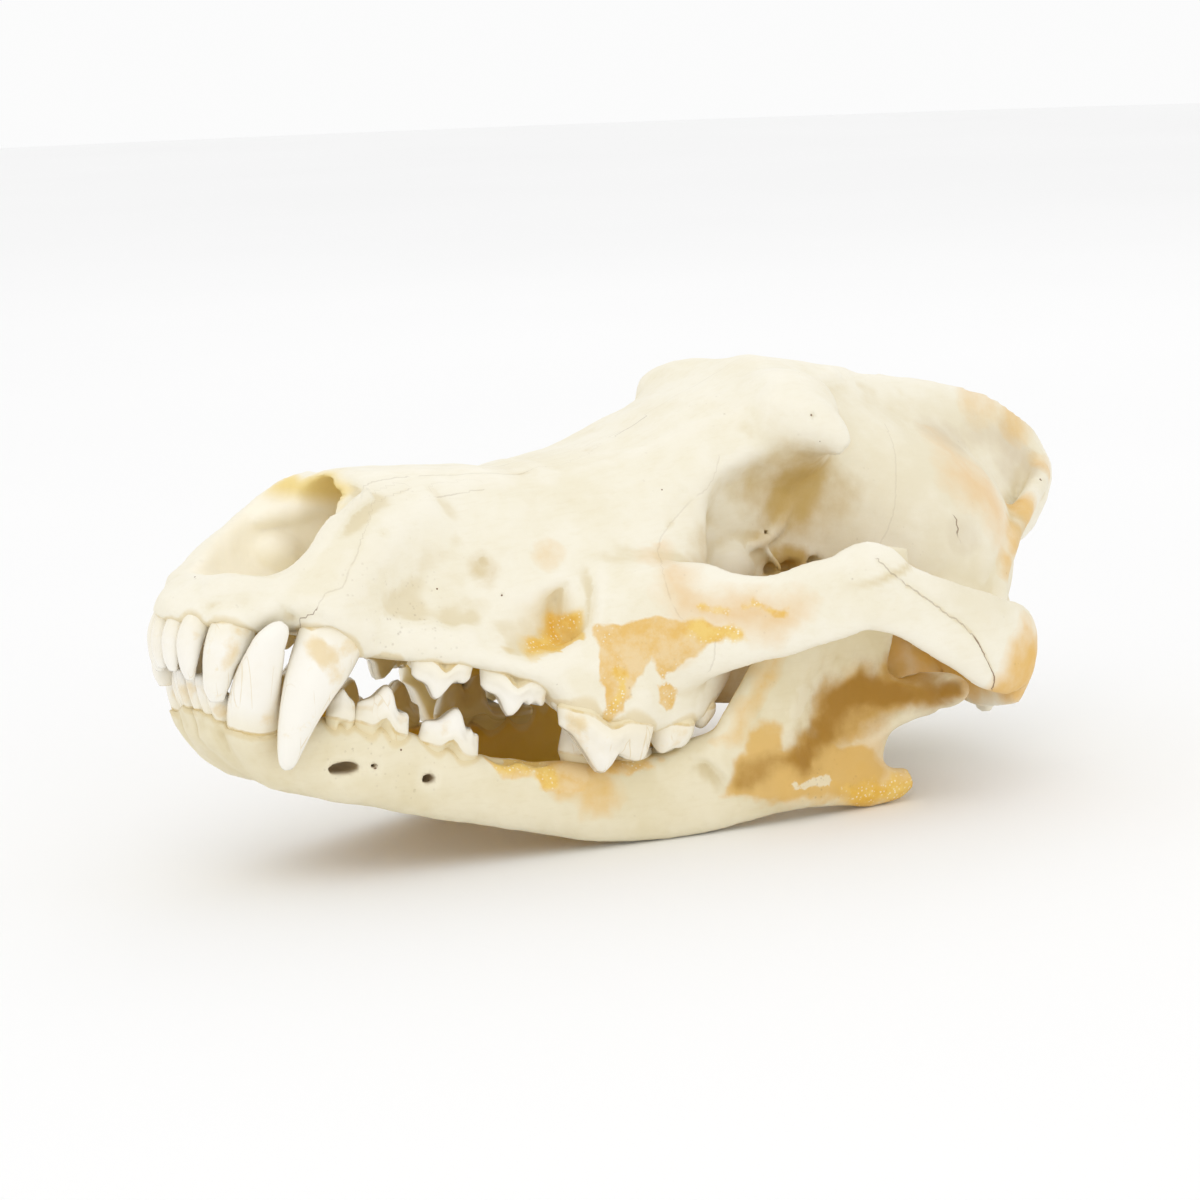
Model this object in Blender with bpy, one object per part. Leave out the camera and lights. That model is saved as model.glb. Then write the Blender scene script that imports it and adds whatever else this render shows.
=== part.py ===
"""A wolf's skull at life size: the cranium and the two halves of the lower jaw, each with its teeth.

Lengths in the tables are millimetres in the skull's own frame: x runs back from the front of the
upper jaw, y out to the side from the midline, z up from the line of the upper tooth row. Each table
row is one section of a bone. The finished bones are then tipped so that the jaw rests on the ground.
"""

import math

import bpy
import numpy as np
import openvdb
from mathutils import Matrix

# Driving dimensions
MM = 0.001
REST_PITCH = 12.6
CELL = 1.5
BAND = 9.0
HALF_GAP = 0.2
CRANIUM_FACES = 5600
MANDIBLE_FACES = 1500
CRANIUM_BOX = ((-12.0, -78.0, -16.0), (270.0, 78.0, 92.0))
MANDIBLE_BOX = ((4.0, -4.0, -42.0), (202.0, 70.0, 50.0))

# Colour, roughness
BONE = ((0.86, 0.80, 0.66), 0.55)
JAW_BONE = ((0.84, 0.78, 0.63), 0.55)


# Curves and closed bodies
def eased(knots, t):
    """Reads a smooth curve through the knot rows at t; column 0 of the knots is its parameter."""
    k = np.asarray(knots, float)
    x, v = k[:, 0], k[:, 1:]
    h = np.diff(x)[:, None]
    s = np.diff(v, axis=0) / h
    m = np.empty_like(v)
    m[0], m[-1] = s[0], s[-1]
    if len(x) > 2:
        near, far = 2 * h[1:] + h[:-1], h[1:] + 2 * h[:-1]
        flat = s[:-1] * s[1:] <= 0
        before = np.where(flat, 1.0, s[:-1])
        after = np.where(flat, 1.0, s[1:])
        m[1:-1] = np.where(flat, 0.0, (near + far) / (near / before + far / after))
    t = np.asarray(t, float)
    i = np.clip(np.searchsorted(x, t, side="right") - 1, 0, len(x) - 2)
    u = ((t - x[i]) / h[i, 0])[:, None]
    g = h[i]
    start = (2 * u**3 - 3 * u**2 + 1) * v[i] + (u**3 - 2 * u**2 + u) * g * m[i]
    end = (3 * u**2 - 2 * u**3) * v[i + 1] + (u**3 - u**2) * g * m[i + 1]
    return start + end


def closed(grid):
    """Points, triangles and quads of a tube of rings.

    The grid is [rings, around, 3], and a pole closes each end.
    """
    r, a, _ = grid.shape
    points = np.concatenate([grid.reshape(-1, 3), grid[:1].mean(1), grid[-1:].mean(1)])
    i = np.arange(r - 1)[:, None] * a
    j = np.arange(a)[None, :]
    n = (j + 1) % a
    quads = np.stack([i + j, i + n, i + a + n, i + a + j], -1).reshape(-1, 4)
    j, n = j[0], n[0]
    first = np.stack([np.full(a, r * a), n, j], 1)
    last = np.stack([np.full(a, r * a + 1), (r - 1) * a + j, (r - 1) * a + n], 1)
    return points, np.concatenate([first, last]), quads


def power_of(a, share):
    return np.sign(a) * np.abs(a) ** share


def limb(rows, ref=(0, 0, 1), power=2.2, step=2.0, around=40, facing=None):
    """Carries an oval along a path.

    The rows hold x, y, z, half width, half height and the top's share of the width.
    """
    k = np.asarray(rows, float)
    if k.shape[1] == 5:
        k = np.concatenate([k, np.ones((len(k), 1))], 1)
    along = np.concatenate([[0], np.cumsum(np.linalg.norm(np.diff(k[:, :3], axis=0), axis=1))])
    t = np.linspace(0, along[-1], max(6, int(along[-1] / step) + 2))
    v = eased(np.column_stack([along, k]), t)
    c, w, h, top = v[:, :3], v[:, 3], v[:, 4], v[:, 5]
    if facing is None:
        ahead = np.gradient(c, t, axis=0)
    else:
        ahead = np.tile(np.asarray(facing, float), (len(c), 1))
    ahead /= np.linalg.norm(ahead, axis=1)[:, None]
    side = np.cross(np.asarray(ref, float), ahead)
    side /= np.linalg.norm(side, axis=1)[:, None]
    high = np.cross(ahead, side)
    a = np.linspace(0, 2 * np.pi, around, endpoint=False)
    across = power_of(np.cos(a), 2 / power)
    upward = power_of(np.sin(a), 2 / power)
    share = 1 + (top[:, None] - 1) * (upward[None, :] + 1) / 2
    grid = c[:, None] + side[:, None] * (w[:, None] * across * share)[..., None]
    return closed(grid + high[:, None] * (h[:, None] * upward)[..., None])


def hull(rows, power=2.6, step=2.5, around=56, offset=None):
    """A body along x, as rows of x, top, bottom, half width low and half width high.

    The offset moves it off the midline.
    """
    k = np.asarray(rows, float)
    middle = (k[:, 1] + k[:, 2]) / 2
    y = 0 * middle if offset is None else eased(offset, k[:, 0])[:, 0]
    columns = [k[:, 0], y, middle, k[:, 3], (k[:, 1] - k[:, 2]) / 2, k[:, 4] / k[:, 3]]
    return limb(np.column_stack(columns), power=power, step=step, around=around, facing=(1, 0, 0))


def ball(centre, radii, turn=(0, 0, 0), n=28):
    """An ellipsoid, turned by degrees about x, y and z."""
    v = np.linspace(0, np.pi, n // 2 + 1)[1:-1, None]
    u = np.linspace(0, 2 * np.pi, n, endpoint=False)[None, :]
    rings = np.stack([-np.cos(v) + 0 * u, np.sin(v) * np.cos(u), np.sin(v) * np.sin(u)], -1)
    points, tris, quads = closed(rings)
    points[-2:] = ((-1, 0, 0), (1, 0, 0))
    turned = Matrix.Identity(3)
    for axis, angle in zip("XYZ", turn):
        turned = Matrix.Rotation(math.radians(angle), 3, axis) @ turned
    return (points * radii) @ np.array(turned).T + centre, tris, quads


# Distance fields, in which bodies grow together with a fillet
class Field:
    """A block of space, in which each body becomes its signed distance, negative inside."""

    def __init__(self, low, high):
        self.low = np.floor(np.asarray(low) / CELL).astype(int)
        self.shape = tuple(np.ceil(np.asarray(high) / CELL).astype(int) - self.low + 1)
        self.scale = openvdb.createLinearTransform(CELL)

    def distance(self, body):
        points, tris, quads = body
        grid = openvdb.FloatGrid.createLevelSetFromPolygons(
            np.ascontiguousarray(points, np.float32),
            np.ascontiguousarray(tris, np.uint32),
            np.ascontiguousarray(quads, np.uint32),
            self.scale,
            BAND / CELL,
        )
        values = np.empty(self.shape, np.float32)
        grid.copyToArray(values, ijk=tuple(int(n) for n in self.low))
        return values

    def y(self):
        return ((self.low[1] + np.arange(self.shape[1])) * CELL)[None, :, None]

    def surface(self, values):
        """Points in millimetres and quads of the surface where the distance is nought."""
        grid = openvdb.FloatGrid(BAND)
        grid.copyFromArray(np.ascontiguousarray(values, np.float32), ijk=tuple(int(n) for n in self.low))
        grid.transform = self.scale
        points, quads = grid.convertToQuads(0.0)
        return points.astype(float), quads.astype(int)


def join(a, b, k):
    """Union with a fillet about k wide."""
    h = np.clip(k - np.abs(a - b), 0, None) / k
    return np.minimum(a, b) - h * h * k / 4


def cut(a, b, k):
    """a without b, with its edge eased over k."""
    return -join(-a, b, k)


def both(a):
    """A body and its mirror image across the midline."""
    return np.minimum(a, a[:, ::-1])


# Bones
def upper_jaw_and_brow(field):
    d = field.distance
    face = d(hull([
        (-0.4, 8.5, 5, 2.6, 2.2), (1.6, 10.5, 3.5, 5.6, 4.6), (5, 13.2, 3.4, 9.6, 7.8),
        (9, 15.2, 3.2, 13.6, 11), (14, 18.4, 3.2, 17.4, 14), (19, 21.6, 3.6, 20, 15.8),
        (25, 27, 4, 21.8, 16), (30, 32.6, 4, 22.6, 15.6), (34, 37.2, 3.4, 23, 14.3),
        (40, 41.4, 2, 23, 12.6), (50, 43.2, 1.2, 23, 13), (62, 44.8, 1.6, 24.5, 14.3),
        (75, 46.2, 1.6, 28.5, 16.6), (86, 47, -1.2, 33.5, 18.6), (98, 47.8, -6.6, 39, 22.5),
        (108, 50, -8.6, 42, 26), (118, 54.5, -8, 41, 28), (127, 59.5, -4, 35, 27)], power=3.0))
    brow = d(hull([
        (92, 47, 36, 16, 12), (102, 48.2, 38, 20, 15), (112, 51, 40, 24, 17.5), (121, 55.8, 44, 27, 19),
        (129, 62.2, 48, 28.5, 19), (137, 68.8, 52, 29.5, 18.5), (145, 75.4, 55, 30, 18.5),
        (151, 80.2, 57, 30, 17.5), (157, 81.2, 59, 27, 15), (165, 81.2, 61, 19, 11),
        (173, 81.0, 63, 12, 6), (184, 80.8, 66, 7, 2)],
                  power=2.5))
    boss = d(ball((154.5, 18.5, 67), (14.5, 11.3, 13)))
    walls = d(hull([
        (100, 48, 4, 24, 20), (115, 56, 4, 22, 24), (125, 62, 5, 19, 25), (135, 69, 6, 17.5, 25),
        (147, 74, 8, 16, 24), (158, 74, 9, 17, 21), (167, 74, 10, 19, 18), (176, 74, 11, 22, 15),
        (190, 72, 12, 27, 14)], power=2.8))
    canine_root = d(limb([
        (31, 19.4, 7.5, 5.4, 7.2), (34.5, 18.9, 12, 5.6, 7.6), (38.5, 17.8, 18, 5, 7.5),
        (48, 15.5, 27, 3.5, 6), (58, 13.5, 33, 2, 4)]))
    tooth_row = d(hull(
        [(40, 9, 2.8, 3.6, 3), (50, 9, 1.8, 4.4, 3.6), (62, 9, 2.0, 4.8, 4), (72, 9, 1.6, 5, 4),
         (80, 8, 0.2, 5, 4), (86.5, 8, -2.2, 5.6, 4.6), (90, 8, -6.2, 6.2, 5), (98, 8, -8.0, 7.6, 6),
         (108, 8, -8.8, 7.8, 6), (118, 8, -8.6, 7.2, 6), (126, 8, -6.2, 6, 5), (132, 8, -2, 4.4, 4),
         (138, 10, 4, 2, 2)],
        power=3.2,
        offset=[(40, 19.4), (50, 21.4), (62, 24.0), (72, 26.4), (80, 28.2), (88, 30.4), (98, 32.8),
                (108, 34.2), (118, 33.8), (126, 32.2), (132, 30.8), (138, 29)]))
    orbit = d(ball((140.5, 52, 47), (26, 30, 17.2), (0, 0, 6)))
    below_orbit = d(ball((140, 40, 20), (15, 19, 12)))
    bone = join(face, brow, 9)
    bone = join(bone, both(boss), 6)
    bone = join(bone, walls, 7)
    bone = join(bone, both(canine_root), 6)
    bone = cut(bone, both(orbit), 3)
    bone = join(bone, both(tooth_row), 3)
    return cut(bone, both(below_orbit), 3)


def braincase(field):
    d = field.distance
    brain = d(hull([
        (160, 70, 22, 17, 15), (170, 71, 19, 21, 19), (182, 72, 16, 28.5, 25), (194, 72, 15, 33, 29),
        (206, 71.5, 14.5, 34, 30), (216, 70, 14.5, 33, 28), (225, 66, 15, 29, 25), (234, 60, 17, 22, 19),
        (241, 54, 20, 13, 12)], power=2.2))
    floor = d(hull([
        (150, 22, 9, 12, 12), (165, 23, 10, 14, 16), (185, 24, 10, 17, 20), (205, 25, 10, 19, 24),
        (222, 27, 12, 17, 21), (235, 28, 15, 14, 17), (243, 26, 17, 8, 9)]))
    crest = d(hull([
        (156, 80.2, 58, 18, 8), (166, 80.8, 56, 16, 5), (176, 81.3, 56, 15, 2.6),
        (190, 82.2, 56, 14, 1.7), (205, 83.2, 56, 13, 1.5), (219, 83.3, 52, 13, 1.5),
        (233, 82.1, 48, 12, 1.5), (241, 80.4, 45, 11, 1.6), (249, 77.4, 44, 9, 1.7),
        (256, 72.6, 48, 6, 1.9), (260.5, 67, 56, 3, 2)]))
    back_wall = d(limb([
        (214, 0, 38, 31, 24), (223, 0, 38, 27, 23), (230, 0, 37, 21, 20), (237, 0, 35, 13.5, 14),
        (242.5, 0, 34, 8, 8)], power=2.3, facing=(1, 0, 0)))
    back_ridge = d(hull([
        (228, 72, 44, 17, 5), (237, 71, 44, 12.5, 4.5), (246, 68, 47, 8, 4), (253, 65, 53, 4, 2.5)],
                        power=2.2))
    swelling = d(ball((240, 0, 46), (8, 8, 13)))
    rear_crest = d(limb([
        (257.8, 0, 64, 4, 2.8), (253, 6, 63, 3.2, 2.5), (246.5, 12, 59.2, 2.8, 2.3),
        (237.5, 18, 53, 2.8, 2.3), (229, 23.5, 45.5, 2.9, 2.3), (222.5, 28.2, 38, 3.1, 2.4),
        (219, 31.4, 28.5, 3.8, 3), (218, 32, 20, 4, 4)], ref=(1, 0, 0.2)))
    bone = join(brain, floor, 6)
    bone = join(bone, crest, 7)
    bone = join(bone, back_wall, 6)
    bone = join(bone, back_ridge, 5)
    bone = join(bone, swelling, 5)
    return join(bone, both(rear_crest), 3)


def cheek_arch(field):
    d = field.distance
    arch = d(limb([
        (100, 27, 15, 8, 12), (110, 34, 16, 7.5, 13.5), (118, 40, 18, 6.5, 13.5),
        (126, 46.5, 20.5, 4.8, 11.5), (133, 52.5, 22.8, 3.8, 10), (142, 58.3, 27.2, 3.3, 9.5),
        (151, 62.6, 30.8, 3.0, 9.2), (161, 65.8, 29, 2.9, 8.1), (171, 67.6, 26.2, 3.0, 9),
        (180, 68, 24, 3.2, 9.9), (188, 67.2, 21.8, 3.6, 10.8), (196, 64.5, 20.6, 4.6, 11),
        (202.5, 59, 19.5, 5.8, 10), (205.5, 50, 19.5, 7, 8), (206, 40, 22, 8, 8),
        (205, 28, 24, 9, 9)], power=2.4))
    peak = d(ball((150.5, 62.3, 36.5), (7, 2.8, 5.5), (0, 0, 30)))
    stop = d(limb([(207, 34, 14, 3, 6), (206.5, 44, 11, 3.2, 6.5), (206.5, 52, 12, 3.4, 6.5),
                   (206, 58, 13, 3.2, 6)]))
    ear = d(limb([(209, 30, 19, 6, 6), (209, 38, 20, 5, 6), (211, 43, 22, 4, 5)]))
    bone = join(arch, peak, 4)
    bone = join(bone, stop, 4)
    return join(bone, ear, 4)


def cranium_bone(field):
    d = field.distance
    brow_horn = d(limb([(147, 22, 69, 5, 6), (153, 28.5, 68, 4.6, 5.2), (157.5, 32.5, 65.5, 3.4, 3.8),
                        (160, 35, 63, 1.6, 2)]))
    drum = d(ball((207, 20, 10), (14, 10, 10.5), (0, 0, -14)))
    neck_joint = d(ball((238, 12.5, 21), (8, 6.5, 9.5), (0, 0, -18)))
    neck_spur = d(limb([(218, 33, 26, 5, 6), (222, 31, 15, 5, 4.5), (225, 28, 6, 3.4, 2.6),
                        (226, 27, 1.5, 2, 1.4)],
                       ref=(1, 0, 0)))
    throat_plate = d(limb([(112, 15, 8, 4, 8), (125, 13.5, 7, 2.8, 10), (140, 12.5, 7, 2.6, 11.5),
                           (155, 12, 7.5, 2.6, 11), (166, 12, 7.5, 2.4, 9), (173, 12.5, 3, 1.8, 4)]))
    nose_rim = d(limb([(7, 7, 11.5, 2.6, 2.2), (11, 10.8, 13, 2.4, 2.6), (16, 13.6, 17, 2.2, 3),
                       (21.5, 14.8, 21.4, 2.2, 3.2), (27, 14.6, 26.2, 2.2, 3.4),
                       (31.5, 13.9, 30.8, 2.2, 3.4), (36, 12.4, 35.4, 2.4, 3.2),
                       (41, 10.5, 37.6, 2.6, 3)]))
    bone = join(upper_jaw_and_brow(field), braincase(field), 8)
    bone = join(bone, both(brow_horn), 6)
    bone = join(bone, both(cheek_arch(field)), 5)
    for part, fillet in ((drum, 3), (neck_joint, 2.5), (neck_spur, 3), (throat_plate, 3),
                         (nose_rim, 2.5)):
        bone = join(bone, both(part), fillet)
    nose_mouth = d(hull([(9, 60, 14, 5.6, 5.6), (14, 60, 13.5, 9.6, 9.6), (20, 60, 13, 12.4, 12.4),
                         (27, 60, 13.5, 12.8, 12.8), (32, 60, 13.5, 12, 12), (35, 60, 13.5, 11.5, 11.5)],
                        power=4))
    nose_canal = d(hull([(24, 37, 14.5, 13, 11), (36, 39, 14, 14, 9.5), (50, 40.6, 14, 14, 9),
                         (66, 41.6, 16, 13, 9), (80, 40, 20, 10, 7)]))
    palate = d(hull([(4, 2, -12, 8, 5), (14, 4, -14, 12, 9), (30, 5.5, -16, 15, 12),
                     (50, 6.5, -18, 17, 14), (70, 6.5, -20, 20, 17), (88, 6, -22, 24, 21),
                     (100, 5, -22, 25.5, 23), (118, 4, -22, 25.5, 23), (132, 4, -22, 24, 21),
                     (140, 4, -20, 22, 18)], power=3.2))
    throat = d(hull([(123, 12, -12, 9, 8), (140, 15, -12, 9.5, 9), (160, 16, -12, 9.5, 9),
                     (176, 13, -12, 9.5, 9), (184, 10, -8, 9, 8)], power=3))
    cheek_hole = d(limb([(67, 36, 7, 4.6, 4), (76, 34, 8.6, 5, 5.4), (83, 31.6, 10.4, 4.6, 6.6),
                         (89.5, 28, 12, 3.4, 6.6), (101, 24, 16, 2.6, 5.2)]))
    fang_notch = d(limb([(15.5, 19.6, 0, 4.2, 3.6), (18.5, 20.5, 4, 4.2, 3.4), (21.5, 21.2, 9, 3, 2.6)],
                        ref=(1, 0, 0)))
    worn_rim = d(hull([(9, 60, 16.2, 11, 11), (17, 60, 16.3, 11, 11), (21.6, 60, 17.9, 11, 11),
                       (24.6, 60, 20.9, 11, 11), (27, 60, 23.8, 11, 11), (30.9, 60, 30.5, 11, 11),
                       (34, 60, 34.2, 11, 11), (38.6, 60, 38.4, 11, 11)],
                      power=8, offset=[(9, -17), (38.6, -17)]))
    neck_hole = d(limb([(262, 0, 27, 10, 9), (244, 0, 27.5, 9.5, 8.5), (226, 0, 29, 8, 8)],
                       facing=(-1, 0, 0)))
    jaw_socket = d(limb([(196, 33, 6.5, 9, 7), (196, 47, 6.5, 9, 7), (196, 64, 6, 9, 7)]))
    hollows = ((nose_mouth, 1.5), (nose_canal, 2), (palate, 4), (throat, 2), (both(cheek_hole), 2),
               (neck_hole, 2), (both(jaw_socket), 2.5), (both(fang_notch), 2), (worn_rim, 2))
    for part, edge in hollows:
        bone = cut(bone, part, edge)
    return bone


def mandible_bone(field):
    """The right half of the lower jaw, cut off just short of the midline."""
    d = field.distance
    beam = d(limb([
        (15, 3.6, -18.8, 2.5, 2.8), (19.5, 5.8, -20.4, 4.0, 4.2), (25, 8.4, -22.2, 5.8, 5.8),
        (33, 12.2, -23.2, 6.6, 8.4), (45, 16.4, -23.2, 5.8, 9.7), (60, 20.2, -25.2, 5.3, 9),
        (75, 23.6, -27, 5.2, 8.1), (90, 27.2, -27.4, 5.5, 8.6), (105, 30.6, -27.0, 5.6, 9.6),
        (120, 34.0, -24.6, 5.3, 10.3), (133, 37.6, -19.8, 4.8, 11.6), (146, 41, -15.4, 4.2, 11.2),
        (158, 43, -12.4, 3.6, 9.6)],
                  power=2.5))
    chin = d(limb([(15, 1.5, -18.4, 3.6, 2.4), (20, 2.2, -21.6, 5, 3.5), (26, 3, -24.8, 6, 4.2),
                   (33, 3.6, -26.8, 6, 4.4), (42, 5, -27.4, 5, 3.4)], power=2.6, facing=(1, 0, 0)))
    wing = d(limb([
        (158, 43.2, -21, 2.6, 18), (157.5, 43, -15, 3.4, 21.5), (158.5, 43, -8, 3.8, 21),
        (160, 42.8, 0, 3.6, 19.5), (160.5, 42.5, 10, 3.2, 16.8), (163.5, 42, 20, 2.8, 14.3),
        (168, 41.3, 30, 2.4, 11.2), (172.5, 41, 37, 2.0, 7.8),
        (175.5, 41, 41, 1.2, 4)], ref=(1, 0, 0), facing=(0, 0, 1), power=2.8))
    front_edge = d(limb([(129.5, 40.8, -16, 3.2, 5), (134, 41.2, -7.5, 3.1, 5), (138, 41.2, 0.5, 3.1, 5),
                         (143, 41.2, 10, 3.1, 4.6), (149, 41.2, 20, 3, 4.2), (156, 41.2, 29, 2.6, 3.6),
                         (163.5, 41.2, 36.5, 2.0, 3)], ref=(1, 0, 0)))
    neck = d(limb([(164, 43.5, 0, 3.8, 9), (174, 44.8, 2, 4.2, 7), (180, 46, 4, 4.8, 5.6),
                   (187, 48, 6.4, 5, 4.8)]))
    hinge = d(limb([(190.5, 35.5, 5.4, 4, 3.4), (190, 42, 6.4, 5.2, 4.4), (189.2, 50, 7.8, 5.2, 4.4),
                    (188, 56.5, 9.0, 4.0, 3.4), (187.6, 59.5, 9.6, 2.2, 2.2)], power=2.0))
    corner = d(limb([(150, 43.2, -16.5, 3.6, 6.5), (165, 44, -16.8, 3.6, 5.6), (176, 45, -17.4, 3.4, 4.9),
                     (182.5, 46, -16.6, 2.9, 4), (186.3, 46.5, -14.6, 2, 2.6)]))
    bone = join(beam, chin, 4)
    bone = join(bone, wing, 5)
    bone = join(bone, front_edge, 4)
    bone = join(bone, neck, 4)
    bone = join(bone, hinge, 3)
    bone = join(bone, corner, 4)
    muscle_hollow = d(ball((161.5, 52.5, 3), (18.5, 8.4, 22), (0, 14, 0)))
    bone = cut(bone, muscle_hollow, 2)
    for centre, radii in (((40, 22, -24.5), (4, 3.5, 1.7)), ((60, 26, -25), (1.8, 3.5, 1.3))):
        bone = cut(bone, d(ball(centre, radii, (0, -12, 0))), 0.8)
    return np.maximum(bone, HALF_GAP - field.y() + 0 * bone)


# Teeth
def place(length, width, height, base, yaw, slope, lean, up):
    """Sets a crown's local lengths at its base.

    Yaw turns it in plan, slope tips its gum line and lean its height.
    """
    turn = math.radians(yaw)
    x = base[0] + length * math.cos(turn) - width * math.sin(turn) + lean[0] * height
    y = base[1] + length * math.sin(turn) + width * math.cos(turn) + lean[1] * height
    z = base[2] + up * height + slope * length
    grid = np.stack([x, y, z], -1)
    return closed(grid if up > 0 else grid[:, ::-1])


def rings(around, rise, below):
    """u round the crown, v from the crown's edge up, and how far each ring lies below the gum."""
    u = np.linspace(0, 2 * np.pi, around, endpoint=False)
    v = np.concatenate([-np.linspace(1, 0, below, endpoint=False), np.linspace(0, 1, rise) ** 0.8])
    u, v = np.meshgrid(u, v)
    return u, np.clip(v, 0, 1), np.clip(-v, 0, 1)


def blade(base, size, yaw, slope, lean, tops, up=1, root=5.0, full=2.2, around=12, rise=4, below=2):
    """A cutting crown: x = a cos u, y = b sin u (1-v^m)^(1/m).

    Its z is v times the height of the cusps at x.
    """
    u, v, down = rings(around, rise, below)
    along = power_of(np.cos(u), 0.9) * (1 - 0.06 * v)
    height = eased(tops, along.ravel())[:, 0].reshape(along.shape)
    width = np.sin(u) * np.clip(1 - v**full, 0, 1) ** (1 / full) * (1 - 0.45 * down)
    length = along * (1 - 0.35 * down)
    return place(length * size[0] / 2, width * size[1] / 2, height * v - root * down, base, yaw, slope,
                 lean, up)


def table(base, size, yaw, slope, lean, cusps, floor, up=1, root=4.0, around=12, rise=4, below=2):
    """A grinding crown: an oval dome, floor high, with a rounded cusp at each s, t of the oval."""
    u, v, down = rings(around, rise, below)
    r = np.cos(v * np.pi / 2) ** 0.55 * (1 - 0.35 * down)
    r[v >= 1] = 0
    s = power_of(np.cos(u), 0.85) * r
    t = power_of(np.sin(u), 0.85) * r
    height = floor + 0 * s
    for at_s, at_t, tall, wide in cusps:
        height = height + tall * np.exp(-((s - at_s) ** 2 + (t - at_t) ** 2) / wide**2)
    height = height * np.clip(1 - r**6, 0, 1) ** (1 / 2.6) * (v > 0)
    return place(s * size[0] / 2, t * size[1] / 2, height - root * down, base, yaw, slope, lean, up)


def peg(rows, around=10, step=3.5):
    """An incisor or canine, carried from its root to its tip: x, y, z, half width across, half depth."""
    return limb(rows, ref=(1, 0, 0), power=2.1, step=step, around=around)


def upper_teeth():
    """Name and body of each upper tooth of one side, front to back."""
    return [
        ("I1", peg([(9, 2.4, 9, 1.4, 2.0), (5.0, 2.5, 6.8, 2.0, 2.5), (3.0, 2.5, 3.5, 2.3, 2.6),
                    (2.2, 2.5, -0.5, 2.35, 2.4), (2.5, 2.5, -4.2, 2.15, 1.7),
                    (3.4, 2.5, -7.2, 1.4, 0.8)])),
        ("I2", peg([(12, 5.8, 9.5, 1.5, 2.2), (7.6, 6.3, 7.2, 2.1, 2.9), (5.2, 6.7, 4, 2.55, 3.2),
                    (4.1, 6.9, -0.5, 2.65, 2.9), (4.4, 7.0, -4.8, 2.4, 2.0),
                    (5.5, 7.0, -8.4, 1.5, 0.9)])),
        ("I3", peg([(18, 10, 11, 1.9, 3.0), (14.6, 10.9, 7.8, 2.7, 4.0), (11.9, 11.8, 4, 3.3, 5.4),
                    (10.2, 12.2, -0.5, 3.35, 5.0), (9.4, 12.2, -4.8, 2.9, 3.9),
                    (9.5, 12.0, -8.8, 2.1, 2.6), (10.4, 11.8, -12.3, 1.1, 1.1)])),
        ("C", peg([(40.5, 15.8, 19, 2.4, 3.6), (37.2, 17.4, 12.5, 4.0, 6.2), (33.4, 19.2, 6, 4.9, 8.0),
                   (30.6, 20.5, 0, 5.0, 7.6), (27.8, 21.2, -6.5, 4.6, 6.6), (25.9, 21.6, -13, 3.9, 5.2),
                   (25.0, 21.7, -19, 2.9, 3.7), (24.9, 21.6, -24.6, 1.3, 1.5)], around=12, step=5)),
        ("P1", blade((46.5, 22.0, 2.6), (7.0, 4.6), 12, 0, (0, 0.04),
                     [(-1, 1.6), (-0.2, 5.6), (0.3, 4.4), (1, 1.6)], up=-1)),
        ("P2", blade((59.9, 24.3, 2.0), (15.4, 5.6), 11, 0.03, (0, 0.1),
                     [(-1, 2.0), (-0.72, 3.8), (-0.16, 8.8), (0.08, 7.0), (0.34, 4.8), (0.7, 3.7),
                      (1, 2.2)], up=-1)),
        ("P3", blade((78, 27.6, 0.2), (17.2, 6.2), 14, -0.1, (0, 0.1),
                     [(-1, 1.8), (-0.6, 4.4), (-0.1, 9.4), (0.12, 7.6), (0.3, 5.4), (0.5, 5.2),
                      (0.88, 4.9), (1, 2.6)], up=-1)),
        ("P4", blade((99.3, 36.2, -6.4), (24.6, 8.6), 14, -0.07, (0, 0.1),
                     [(-1, 3), (-0.86, 4.2), (-0.4, 9.6), (-0.02, 13.6), (0.14, 11.6), (0.27, 8.2),
                      (0.62, 8.8), (0.84, 9.0), (0.95, 7.4),
                      (1, 4.6)], up=-1, root=6, around=16, rise=5)),
        ("P4_inner", table((91.5, 30.6, -3.6), (7.5, 7), 10, 0, (0, 0),
                           [(0, 0, 2, 0.6)], 2.2, up=-1, root=3, around=8, rise=3, below=1)),
        ("M1", table((119.3, 32.6, -6.4), (13.4, 16.8), 8, 0.02, (0, 0.03),
                     [(-0.42, 0.72, 6.0, 0.34), (0.42, 0.7, 3.8, 0.32), (0.05, -0.28, 1.4, 0.45)], 2.8,
                     up=-1, root=5, around=16, rise=5)),
        ("M2", table((129.4, 31.4, -3.0), (7.6, 11.4), 8, 0.42, (0.25, 0.03),
                     [(-0.2, 0.66, 2.4, 0.4), (0.1, -0.3, 0.8, 0.5)], 2.4, up=-1)),
    ]


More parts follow.
